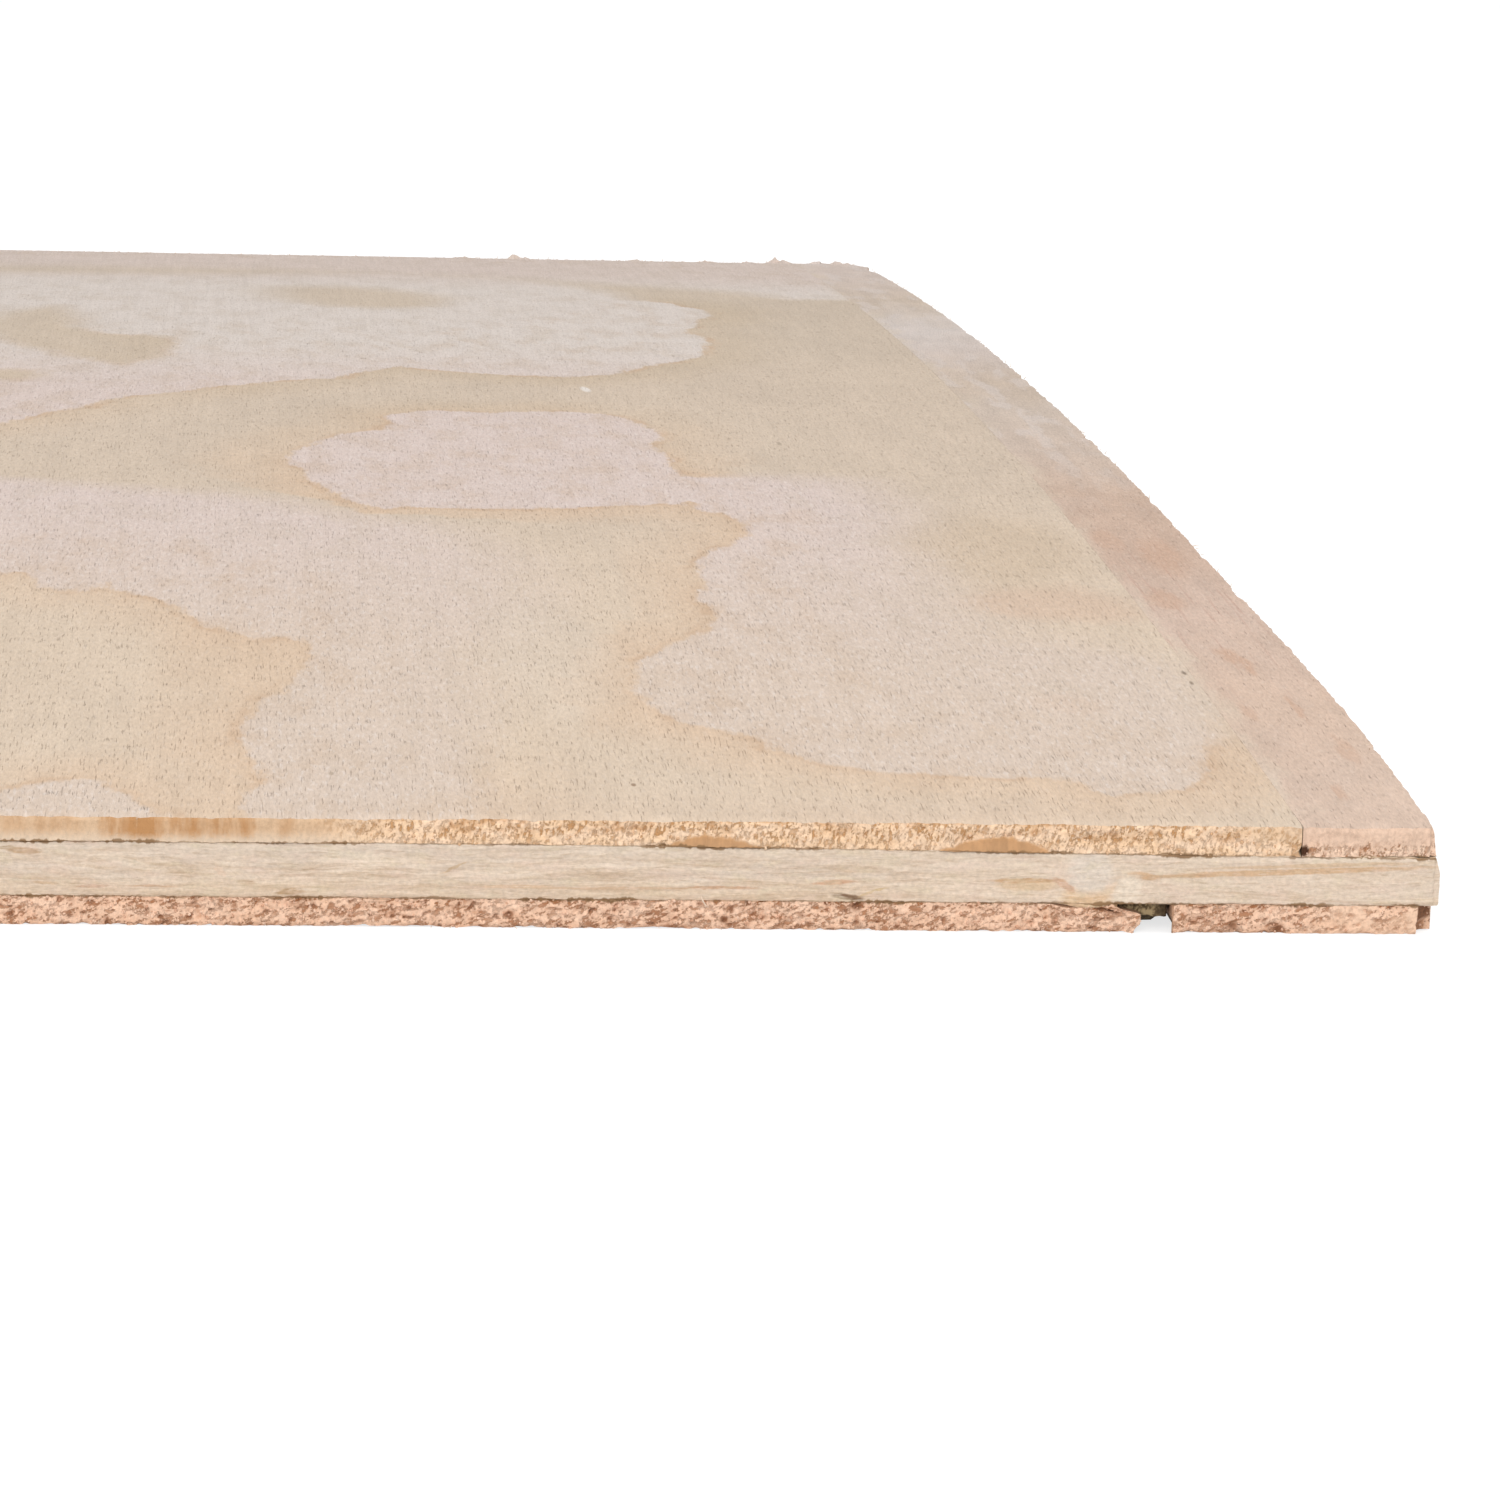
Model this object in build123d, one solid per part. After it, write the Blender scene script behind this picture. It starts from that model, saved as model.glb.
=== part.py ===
from build123d import *
import math
import os

# A small sheet of three-ply plywood, bowed along its face grain, with the veneer joints it was laid with.
# X runs along the front edge, across the face grain. Y runs with the face grain, away from the front edge.
# Z is up. The origin is on the floor, under the middle of the sheet. All sizes are in millimetres.

# The sheet as it was cut, before it bowed
SHEET_WIDTH = 600.0
SHEET_DEPTH = 300.0

# The three layers of veneer
FACE_THICKNESS = 1.4
CORE_THICKNESS = 3.0
BACK_THICKNESS = 1.6

# How far the crown of the underside stands above the line between its front and back ends
BOW_RISE = 3.8

# The joints in the outer layers run along the face grain, near the right-hand edge
FACE_STRIP_WIDTH = 7.2
BACK_STRIP_WIDTH = 14.4
BACK_JOINT_GAP = 1.6

# Along the open joint in the back layer, the lip of the wide piece has split away under the core
LIP_SPLIT_WIDTH = 1.3
LIP_SPLIT_HEIGHT = 0.6

# At the right-hand edge the face stops short of the two layers below it
FACE_SHORTFALL = 0.3

# The sliver that has split off the face strip at its back corner
FACE_SLIVER_WIDTH = 1.5
FACE_SLIVER_LENGTH = 12.0

# The piece that has broken off the back strip at its front corner
BACK_BREAK_WIDTH = 1.0
BACK_BREAK_LENGTH = 2.4

# How far a broken-off piece is drawn past the edges it leaves, as a share of its own size
BREAK_RUN_OUT = 0.5

# The faces and glue lines are arcs about one axis, along X, far below the sheet
UNDERSIDE_RADIUS = SHEET_DEPTH**2 / (8 * BOW_RISE)
LOWER_GLUE_RADIUS = UNDERSIDE_RADIUS + BACK_THICKNESS
UPPER_GLUE_RADIUS = LOWER_GLUE_RADIUS + CORE_THICKNESS
TOP_RADIUS = UPPER_GLUE_RADIUS + FACE_THICKNESS
HALF_ANGLE = math.degrees(SHEET_DEPTH / (UNDERSIDE_RADIUS + TOP_RADIUS))
BOW_AXIS_Z = -UNDERSIDE_RADIUS * math.cos(math.radians(HALF_ANGLE))

# The edges and joints along X
LEFT_EDGE_X = -SHEET_WIDTH / 2
RIGHT_EDGE_X = SHEET_WIDTH / 2
FACE_END_X = RIGHT_EDGE_X - FACE_SHORTFALL
FACE_JOINT_X = FACE_END_X - FACE_STRIP_WIDTH
BACK_STRIP_X = RIGHT_EDGE_X - BACK_STRIP_WIDTH
BACK_LIP_X = BACK_STRIP_X - BACK_JOINT_GAP


def veneer(inner_radius, outer_radius, from_x, to_x):
    """One piece of veneer: a band of even thickness, bent round the bow's axis and running along X."""
    with BuildPart() as piece:
        with BuildSketch(Plane.YZ.offset(from_x)):
            with BuildLine():
                axis = (0, BOW_AXIS_Z)
                lower_face = CenterArc(axis, inner_radius, 90 - HALF_ANGLE, 2 * HALF_ANGLE)
                upper_face = CenterArc(axis, outer_radius, 90 - HALF_ANGLE, 2 * HALF_ANGLE)
                Line(lower_face @ 0, upper_face @ 0)
                Line(lower_face @ 1, upper_face @ 1)
            make_face()
        extrude(amount=to_x - from_x)
    return piece.part


def end_y(radius):
    """How far in front of or behind the middle an arc of that radius ends."""
    return radius * math.sin(math.radians(HALF_ANGLE))


def broken_corner(corner_x, corner_y, reach_x, reach_y):
    """The upright wedge lost at a corner: it reaches in along both edges, and runs out past them."""
    with BuildPart() as wedge:
        with BuildSketch():
            with BuildLine():
                outer_x = corner_x - reach_x * BREAK_RUN_OUT
                outer_y = corner_y - reach_y * BREAK_RUN_OUT
                Polyline(
                    (outer_x, outer_y),
                    (corner_x + reach_x * (1 + BREAK_RUN_OUT), outer_y),
                    (outer_x, corner_y + reach_y * (1 + BREAK_RUN_OUT)),
                    close=True,
                )
            make_face()
        extrude(amount=BOW_RISE + TOP_RADIUS - UNDERSIDE_RADIUS, both=True)
    return wedge.part


# The face layer is a wide piece and a narrow strip, butted tight, and the strip has lost a sliver
face_veneer = veneer(UPPER_GLUE_RADIUS, TOP_RADIUS, LEFT_EDGE_X, FACE_JOINT_X)
face_sliver = broken_corner(FACE_END_X, end_y(TOP_RADIUS), -FACE_SLIVER_WIDTH, -FACE_SLIVER_LENGTH)
face_edge_strip = veneer(UPPER_GLUE_RADIUS, TOP_RADIUS, FACE_JOINT_X, FACE_END_X) - face_sliver

# The core is one thick piece, with its grain across that of the outer layers
core_veneer = veneer(LOWER_GLUE_RADIUS, UPPER_GLUE_RADIUS, LEFT_EDGE_X, RIGHT_EDGE_X)

# The back layer is a wide piece with a split lip, an open gap, and a strip with a broken corner
lip_split = veneer(
    LOWER_GLUE_RADIUS - LIP_SPLIT_HEIGHT, LOWER_GLUE_RADIUS, BACK_LIP_X - LIP_SPLIT_WIDTH, BACK_LIP_X
)
back_veneer = veneer(UNDERSIDE_RADIUS, LOWER_GLUE_RADIUS, LEFT_EDGE_X, BACK_LIP_X) - lip_split
back_break = broken_corner(RIGHT_EDGE_X, -end_y(LOWER_GLUE_RADIUS), -BACK_BREAK_WIDTH, BACK_BREAK_LENGTH)
back_edge_strip = veneer(UNDERSIDE_RADIUS, LOWER_GLUE_RADIUS, BACK_STRIP_X, RIGHT_EDGE_X) - back_break

pieces = {
    "face_veneer": face_veneer,
    "face_edge_strip": face_edge_strip,
    "core_veneer": core_veneer,
    "back_veneer": back_veneer,
    "back_edge_strip": back_edge_strip,
}

os.makedirs("parts", exist_ok=True)
for name, piece in pieces.items():
    export_step(piece, f"parts/{name}.step")
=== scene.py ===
import math

import bpy
import numpy as np
from mathutils import Matrix, Vector, noise
from mathutils.geometry import delaunay_2d_cdt


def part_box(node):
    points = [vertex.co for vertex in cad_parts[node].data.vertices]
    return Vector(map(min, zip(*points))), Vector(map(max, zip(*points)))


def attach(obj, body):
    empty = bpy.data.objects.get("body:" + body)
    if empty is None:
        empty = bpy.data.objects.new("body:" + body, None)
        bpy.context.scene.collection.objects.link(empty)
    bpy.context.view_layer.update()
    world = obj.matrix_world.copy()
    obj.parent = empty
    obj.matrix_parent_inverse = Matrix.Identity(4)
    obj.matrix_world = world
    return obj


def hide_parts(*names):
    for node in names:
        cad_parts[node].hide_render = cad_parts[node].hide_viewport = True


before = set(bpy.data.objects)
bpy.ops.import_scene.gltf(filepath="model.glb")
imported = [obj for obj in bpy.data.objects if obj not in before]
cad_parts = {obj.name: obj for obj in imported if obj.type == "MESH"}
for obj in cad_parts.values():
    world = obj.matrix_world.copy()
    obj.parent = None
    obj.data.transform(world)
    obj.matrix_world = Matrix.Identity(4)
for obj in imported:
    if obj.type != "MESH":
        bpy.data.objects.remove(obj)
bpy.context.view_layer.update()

# The core veneer is one thick sheet of pale, soft wood, peeled from the log and glued in with its grain
# along the front edge. The saw leaves long grain open at the front and back, and end grain at the sides.
MM = 0.001

back_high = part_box("back_veneer")[1]
core_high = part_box("core_veneer")[1]
face_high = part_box("face_veneer")[1]
bow_sine = (face_high.y - back_high.y) / (face_high.z - back_high.z)
top_radius = face_high.y / bow_sine
upper_glue_radius = core_high.y / bow_sine
lower_glue_radius = back_high.y / bow_sine
bow_axis_z = face_high.z - top_radius
underside_radius = -bow_axis_z / math.sqrt(1 - bow_sine**2)
middle_radius = (top_radius + underside_radius) / 2
half_depth = middle_radius * math.asin(bow_sine)
front = -half_depth / MM
CORE_THICKNESS = (upper_glue_radius - lower_glue_radius) / MM
LOWER_GLUE = (lower_glue_radius - underside_radius) / MM
UPPER_GLUE = (upper_glue_radius - underside_radius) / MM

PHOTO_SIDE_SPAN = 88 * MM
FINE_STEP = 0.09 * MM
COARSE_STEP = 1.2 * MM
RIGHT_STEP = 0.5 * MM
STEP_GROWTH = 0.02
CAP_STEP = 9 * MM
FIGURE_STEP = 1.5 * MM
RIM_INSET = 0.5 * MM
WORN_CORNER = (0.3 * MM, 0.3 * MM)
SET_BACK_REACH = 8 * MM
SHARP_ANGLE = math.radians(40)


def bowed(x, along, radius):
    """Where a point of the flat sheet lies once the sheet is bowed, from arrays or numbers."""
    turn = np.asarray(along) / middle_radius
    return np.stack(np.broadcast_arrays(x, radius * np.sin(turn), bow_axis_z + radius * np.cos(turn)), -1)


def march(start, end, step_at):
    """Places from start to end, each one step on from the last."""
    heading = 1 if end > start else -1
    places = [start]
    while abs(end - places[-1]) > 1.5 * step_at(places[-1]):
        places.append(places[-1] + heading * step_at(places[-1]))
    return places + [end]


def outline(from_x, to_x, corners, half_length):
    """The points round a veneer laid flat: x, along, outward x and along, room to tear in, and edge."""

    def front_step(x):
        away = core_high.x - x - PHOTO_SIDE_SPAN
        return min(COARSE_STEP, FINE_STEP + STEP_GROWTH * max(0, away))

    edges = {
        "front": ((0, -1), from_x, to_x, -half_length, front_step),
        "right": ((1, 0), -half_length, half_length, to_x, lambda along: RIGHT_STEP),
        "back": ((0, 1), to_x, from_x, half_length, lambda x: min(COARSE_STEP, 3 * front_step(x))),
        "left": ((-1, 0), half_length, -half_length, from_x, lambda along: COARSE_STEP),
    }
    turns = ("front_left", "front_right", "back_right", "back_left", "front_left")
    points = []
    for number, (name, (out, start, end, fixed, step_at)) in enumerate(edges.items()):
        turn = turns[number + 1]
        before, after = (corners.get(corner, WORN_CORNER) for corner in (turns[number], turn))
        lengthwise = 0 if name in ("front", "back") else 1
        heading = 1 if end > start else -1
        first = start + heading * before[lengthwise]
        last = end - heading * after[lengthwise]
        for place in march(first, last, step_at):
            spot = (place, fixed) if lengthwise == 0 else (fixed, place)
            room = min(min(before[:2]) + abs(place - first), min(after[:2]) + abs(last - place))
            points.append((*spot, *out, room / 2, name))
        reach_x, reach_along, straight = (*after, False)[:3]
        corner_x, side_x = (to_x, 1) if "right" in turn else (from_x, -1)
        corner_along, side_along = (-half_length, -1) if "front" in turn else (half_length, 1)
        count = max(6, math.ceil((reach_x + reach_along) / (2 * FINE_STEP)))
        for index in range(1, count):
            angle = index / count * math.pi / 2
            share = (math.sin(angle), math.cos(angle))
            bend = (index / count, 1 - index / count) if straight else share
            if lengthwise == 1:
                share, bend = share[::-1], bend[::-1]
            x = corner_x - side_x * reach_x * (1 - bend[0])
            along = corner_along - side_along * reach_along * (1 - bend[1])
            room = min(reach_x, reach_along) / 2
            points.append((x, along, side_x * share[0], side_along * share[1], room, name))
    return points


def spread(low, high, step):
    """Points spread evenly over a rectangle, about a step apart."""
    low, high = np.array(low), np.array(high)
    count = np.maximum(1, np.round((high - low) / step).astype(int))
    shares = [(np.arange(n) + 0.5) / n for n in count]
    return [low + (high - low) * (a, b) for a in shares[0] for b in shares[1]]


def cap(ring, inset, figured_from):
    """Triangles that fill a flat ring of points: the points added inside it, and the triangles' corners."""
    low, high = ring.min(0) + 2 * RIM_INSET, ring.max(0) - 2 * RIM_INSET
    parting = high[0] if figured_from is None else figured_from
    inside = list(inset) + spread(low, (parting, high[1]), CAP_STEP)
    if parting < high[0]:
        inside += spread((parting, low[1]), high, FIGURE_STEP)
    places = [Vector(p) for p in ring] + [Vector(p) for p in inside]
    rim = [(i, (i + 1) % len(ring)) for i in range(len(ring))]
    _, _, faces, origins, _, _ = delaunay_2d_cdt(places, rim, [], 1, 1e-9)
    index_of = [found[0] for found in origins]
    return np.array(inside).reshape(-1, 2), [[index_of[i] for i in face] for face in faces]


def set_out(name, data):
    """A new object in the scene, made from a mesh, lamp or lens."""
    made = bpy.data.objects.new(name, data)
    bpy.context.scene.collection.objects.link(made)
    return made


def store(mesh, label, values):
    """Keeps a number for each of the mesh's first points, and nothing for the others."""
    held = np.zeros(len(mesh.vertices), np.float32)
    held[: values.size] = values.ravel()
    mesh.attributes.new(label, "FLOAT", "POINT").data.foreach_set("value", held)


def veneer_mesh(
    name, from_x, to_x, inner_radius, outer_radius, corners, wall_at, rows,
    set_back=None, chips=None, half_length=half_depth, figured_from=None,
):
    """A piece of bowed veneer with torn walls. wall_at tells of a spot of the wall how far in it has torn,
    how far it is rubbed smooth and how far it is painted dark, by scars and by painted shade; set_back how
    far the right side has broken, and chips how much is lost from the lower and upper arris."""
    path = outline(from_x, to_x, corners, half_length)
    count = len(path)
    radii = np.linspace(inner_radius, outer_radius, rows + 1)
    x, along, out_x, out_along, room = np.array([p[:5] for p in path]).T
    edges = [p[5] for p in path]
    spots = list(zip(edges, x / MM, along / MM))
    heights = (radii - inner_radius) / MM
    wall = [[wall_at(*spot, height) for spot in spots] for height in heights]
    torn, rubbed, scars_and_shade = np.moveaxis(np.array(wall), -1, 0)
    torn = np.minimum(torn, room / MM)
    ring_x = x - out_x * torn * MM
    ring_along = along - out_along * torn * MM
    if set_back:
        share = np.clip((x - to_x) / SET_BACK_REACH + 1, 0, 1)
        broken = [[set_back(a / MM, h) if s > 0 else 0 for a, s in zip(along, share)] for h in heights]
        ring_x = ring_x - share * np.array(broken) * MM
    ring_radius = np.repeat(radii[:, None], count, 1)
    if chips:
        lost_low, lost_high = np.array([chips(*spot) for spot in spots]).T * MM
        share_up = (ring_radius - inner_radius) / (outer_radius - inner_radius)
        ring_radius = ring_radius + lost_low * (1 - share_up) - lost_high * share_up
    chosen = [0]
    for i in range(1, count):
        gone = abs(x[i] - x[chosen[-1]]) + abs(along[i] - along[chosen[-1]])
        if room[i] > 2 * RIM_INSET and gone > 1.5 * RIM_INSET:
            chosen.append(i)
    chosen = chosen[1:]
    places = [bowed(ring_x, ring_along, ring_radius).reshape(-1, 3)]
    faces, slots = [], []
    top_slot, end_slot, side_slot, under_slot = range(4)
    for row in range(rows):
        low, high = row * count, (row + 1) * count
        for i in range(count):
            j = (i + 1) % count
            faces.append([low + i, low + j, high + j, high + i])
            slots.append(end_slot if edges[i] in ("front", "back") else side_slot)
    for row, radius, under in ((rows, outer_radius, False), (0, inner_radius, True)):
        ring = np.stack([ring_x[row], ring_along[row]], 1)
        inset = ring[chosen] - RIM_INSET * np.stack([out_x, out_along], 1)[chosen]
        inside, triangles = cap(ring, inset, None if under else figured_from)
        base = sum(len(p) for p in places)
        places.append(bowed(inside[:, 0], inside[:, 1], radius))
        for triangle in triangles:
            corners_of = [row * count + i if i < count else base + i - count for i in triangle]
            faces.append(corners_of[::-1] if under else corners_of)
            slots.append(under_slot if under else top_slot)
    mesh = bpy.data.meshes.new(name)
    mesh.from_pydata(np.concatenate(places).tolist(), [], faces)
    mesh.polygons.foreach_set("material_index", slots)
    mesh.polygons.foreach_set("use_smooth", [True] * len(faces))
    store(mesh, "torn", torn)
    store(mesh, "rubbed", rubbed)
    store(mesh, "scars_and_shade", scars_and_shade)
    mesh.set_sharp_from_angle(angle=SHARP_ANGLE)
    mesh.validate()
    return set_out(name, mesh)


def rough(x, along, height, *sizes):
    """Smooth noise from -1 to 1 at a spot of the sheet, in millimetres, with grains of the given sizes."""
    return noise.noise(Vector((x / sizes[0], along / sizes[1], height / sizes[2])))


def ease(value, low, high):
    """A number eased from 0 to 1 as value goes from low to high."""
    share = min(1.0, max(0.0, (value - low) / (high - low)))
    return share * share * (3 - 2 * share)


def near(distance, reach):
    """A number that falls from 1 to nothing with distance."""
    return math.exp(-((distance / reach) ** 2))


def core_wall(edge, x, along, height):
    """The core's walls: torn streaks along the grain at the front and back, fine pits at the sides."""
    glue = min(height, CORE_THICKNESS - height)
    groove = 0.05 * near(glue, 0.08) * (1 + rough(x, along, height + 40, 2.5, 2.5, 2.5))
    if edge in ("front", "back"):
        bent = height + 0.3 * rough(x, along, 3, 9, 9, 9)
        streak = 0.05 * rough(x, along, bent, 9, 9, 0.2) + 0.04 * rough(x, along, bent + 7, 1.3, 1.3, 0.12)
        swell = 0.06 * rough(x, along, bent + 20, 12, 12, 0.8)
        fuzz = 0.02 * rough(x, along, height + 30, 0.25, 0.25, 0.14)
        return 0.13 + streak + swell + fuzz + groove, 0.0, 0.0
    pits = 0.03 * rough(x, along, height, 0.5, 0.5, 0.5) + 0.02 * rough(x, along, height, 0.18, 0.2, 0.5)
    swollen = 0.22 * ease(CORE_THICKNESS - height, 0.0, 1.2) if edge == "right" else 0.0
    return 0.06 + pits + groove - swollen, 0.0, 0.0


# The face thickens towards the right-hand edge: from where to where across the sheet, and by how much.
FACE_SWELL = (248.0, 302.0, 0.34)


def upper_sway(x, along):
    """How far the upper glue line strays up, in millimetres: it dips where the face is thicker."""
    swell = FACE_SWELL[2] * ease(x, *FACE_SWELL[:2])
    return 0.06 * rough(x, along, 1, 1.7, 1.7, 1.0) + 0.035 * rough(x, along, 6, 0.4, 0.4, 1.0) - swell


def lower_sway(x, along):
    """How far the lower glue line strays up: it dips where a fold of the core bulges into the back."""
    fold = 0.3 * near(x - 281.0, 1.15) if along < 0 else 0.0
    return 0.05 * rough(x, along, 3, 2.4, 2.4, 1.0) + 0.025 * rough(x, along, 9, 0.4, 0.4, 1.0) - fold


core = veneer_mesh(
    "core", -core_high.x, core_high.x, lower_glue_radius, upper_glue_radius, {}, core_wall, rows=28,
    chips=lambda edge, x, along: (lower_sway(x, along), -upper_sway(x, along)),
)


def node(tree, kind, inputs=None, **settings):
    """A new node with its settings made and its inputs set or linked."""
    made = tree.nodes.new(kind)
    for name, value in settings.items():
        setattr(made, name, value)
    for key, value in (inputs or {}).items():
        value = value.socket if isinstance(value, Grade) else value
        if isinstance(value, bpy.types.NodeSocket):
            tree.links.new(value, made.inputs[key])
        else:
            made.inputs[key].default_value = value
    return made


class Grade:
    """A number, place or colour that varies over a wood, worked out by nodes. Arithmetic on it adds nodes."""

    def __init__(self, tree, socket):
        self.tree = tree
        self.socket = socket

    def by(self, kind, inputs=None, output=0, **settings):
        """What one more node makes of it."""
        made = node(self.tree, "ShaderNode" + kind, {0: self, **(inputs or {})}, **settings)
        return Grade(self.tree, made.outputs[output])

    def math(self, operation, other=0.0):
        """One sum on a number."""
        return self.by("Math", {1: other}, operation=operation)

    def vector(self, operation, inputs=None, output=0):
        """One sum on a place."""
        return self.by("VectorMath", inputs, output, operation=operation)

    def __add__(self, other):
        return self.math("ADD", other)

    def __sub__(self, other):
        return self.math("SUBTRACT", other)

    def __rsub__(self, other):
        return self.by("Math", {0: other, 1: self}, operation="SUBTRACT")

    def __mul__(self, other):
        return self.math("MULTIPLY", other)

    def __truediv__(self, other):
        return self.math("DIVIDE", other)

    def axis(self, name):
        """One part of a place: X, Y or Z."""
        return self.by("SeparateXYZ", output=name)

    def fade(self, low, high, first=0.0, last=1.0):
        """A number eased from first to last as this one goes from low to high."""
        return self.by("MapRange", {1: low, 2: high, 3: first, 4: last}, interpolation_type="SMOOTHSTEP")

    def noise(self, sizes, detail=2.0, roughness=0.5, shift=0.0, output="Fac"):
        """Noise from 0 to 1 over a place, with grains of the given sizes in millimetres."""
        scaled = self.by("Mapping", {"Location": (shift,) * 3, "Scale": tuple(1 / s for s in sizes)})
        return scaled.by("TexNoise", {"Scale": 1.0, "Detail": detail, "Roughness": roughness}, output)

    def wavered(self, sizes, reach, shift):
        """The place pushed about, so that outlines waver."""
        push = self.noise(sizes, shift=shift, output="Color").vector("SUBTRACT", {1: (0.5, 0.5, 0.5)})
        return push.vector("MULTIPLY_ADD", {1: reach, 2: self})

    def flattened(self):
        """The place without its height, so that a pattern runs straight through the veneer."""
        return self.vector("MULTIPLY", {1: (1.0, 1.0, 0.0)})

    def inside(self, centre, reach, turn):
        """How far inside an oval a place is: 1 at its middle, 0 on its rim and less outside."""
        turn = tuple(math.radians(part) for part in turn)
        inputs = {"Location": centre, "Rotation": turn, "Scale": reach}
        local = self.by("Mapping", inputs, vector_type="TEXTURE")
        return 1.0 - local.vector("LENGTH", output="Value")

    def ramp(self, stops):
        """A colour that runs through stops, each a number and the colour there."""
        low, high = stops[0][0], stops[-1][0]
        made = node(self.tree, "ShaderNodeValToRGB", {0: self.by("MapRange", {1: low, 2: high})})
        band = made.color_ramp.elements
        while len(band) < len(stops):
            band.new(0.5)
        for stop, (spot, colour) in zip(band, stops):
            stop.position = (spot - low) / (high - low)
            stop.color = (*colour, 1.0)
        return Grade(self.tree, made.outputs[0])


class BareWood:
    """A dull, unvarnished wood. Its tint is laid on in layers, by the place on the flat sheet in millimetres:
    x, along the face grain, and height from the underside."""

    def __init__(self, name):
        self.material = bpy.data.materials.new(name)
        self.material.use_nodes = True
        self.tree = self.material.node_tree
        self.shader = self.tree.nodes["Principled BSDF"]
        self.shader.inputs["Roughness"].default_value = 0.8
        self.shader.inputs["Specular IOR Level"].default_value = 0.2
        spot = Grade(self.tree, node(self.tree, "ShaderNodeTexCoord").outputs["Object"])
        across, along, rise = spot.axis("X"), spot.axis("Y"), spot.axis("Z") - bow_axis_z
        height = (along * along + rise * rise).math("SQRT") - underside_radius
        self.place = across.by("CombineXYZ", {1: along, 2: height}).vector("SCALE", {"Scale": 1 / MM})
        self.tint = None

    def given(self, label):
        """A number that the mesh keeps for each of its points."""
        return Grade(self.tree, node(self.tree, "ShaderNodeAttribute", attribute_name=label).outputs["Fac"])

    def mix(self, share, first, second, mode="MIX"):
        """A mix of two colours."""
        first, second = ((*c, 1.0) if isinstance(c, tuple) else c for c in (first, second))
        inputs = {0: share, 6: first, 7: second}
        made = node(self.tree, "ShaderNodeMix", inputs, data_type="RGBA", blend_type=mode)
        return Grade(self.tree, made.outputs[2])

    def mottled(self, colour, value, low, high):
        """A colour made darker and lighter by a noise value."""
        return self.mix(1.0, colour, value.fade(0.25, 0.75, low, high), "MULTIPLY")

    def mottle(self, value, low, high):
        """Makes the tint darker and lighter by a noise value."""
        self.tint = self.mottled(self.tint, value, low, high)

    def lay(self, share, colour):
        """Lays a colour over the tint, as much as its share."""
        self.tint = self.mix(share, self.tint, colour)

    def finish(self, relief, depth):
        """The finished material, with the tint and a fine relief of a depth joined to its shader."""
        inputs = {"Height": relief, "Distance": depth * MM, "Strength": 1.0}
        bump = node(self.tree, "ShaderNodeBump", inputs)
        self.tree.links.new(self.tint.socket, self.shader.inputs["Base Color"])
        self.tree.links.new(bump.outputs[0], self.shader.inputs["Normal"])
        return self.material


def glue_stain(wood, glue_heights):
    """Lays thin brown glue along the glue lines, wavering and broken."""
    place = wood.place
    for glue_height in glue_heights:
        waver = place.noise((1.6, 1.6, 60.0), 4.0, 0.65, glue_height)
        ragged = place.noise((0.35, 0.35, 60.0), 2.0, 0.5, glue_height + 5)
        patchy = place.noise((4.0, 4.0, 60.0), 3.0, 0.6, glue_height + 9)
        swell = FACE_SWELL[2] if glue_height == UPPER_GLUE else 0.0
        level = place.axis("X").fade(*FACE_SWELL[:2], glue_height, glue_height - swell)
        gap = (place.axis("Z") - ((waver - 0.5) * 0.34 + level)).math("ABSOLUTE")
        width = ragged.fade(0.35, 0.65, 0.025, 0.1) * patchy.fade(0.38, 0.62, 0.5, 1.5)
        strong = patchy.fade(0.38, 0.58, 0.4, 0.95)
        wood.lay((gap / width).fade(0.5, 1.5, 1.0, 0.0) * strong, (0.25, 0.145, 0.07))


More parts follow.
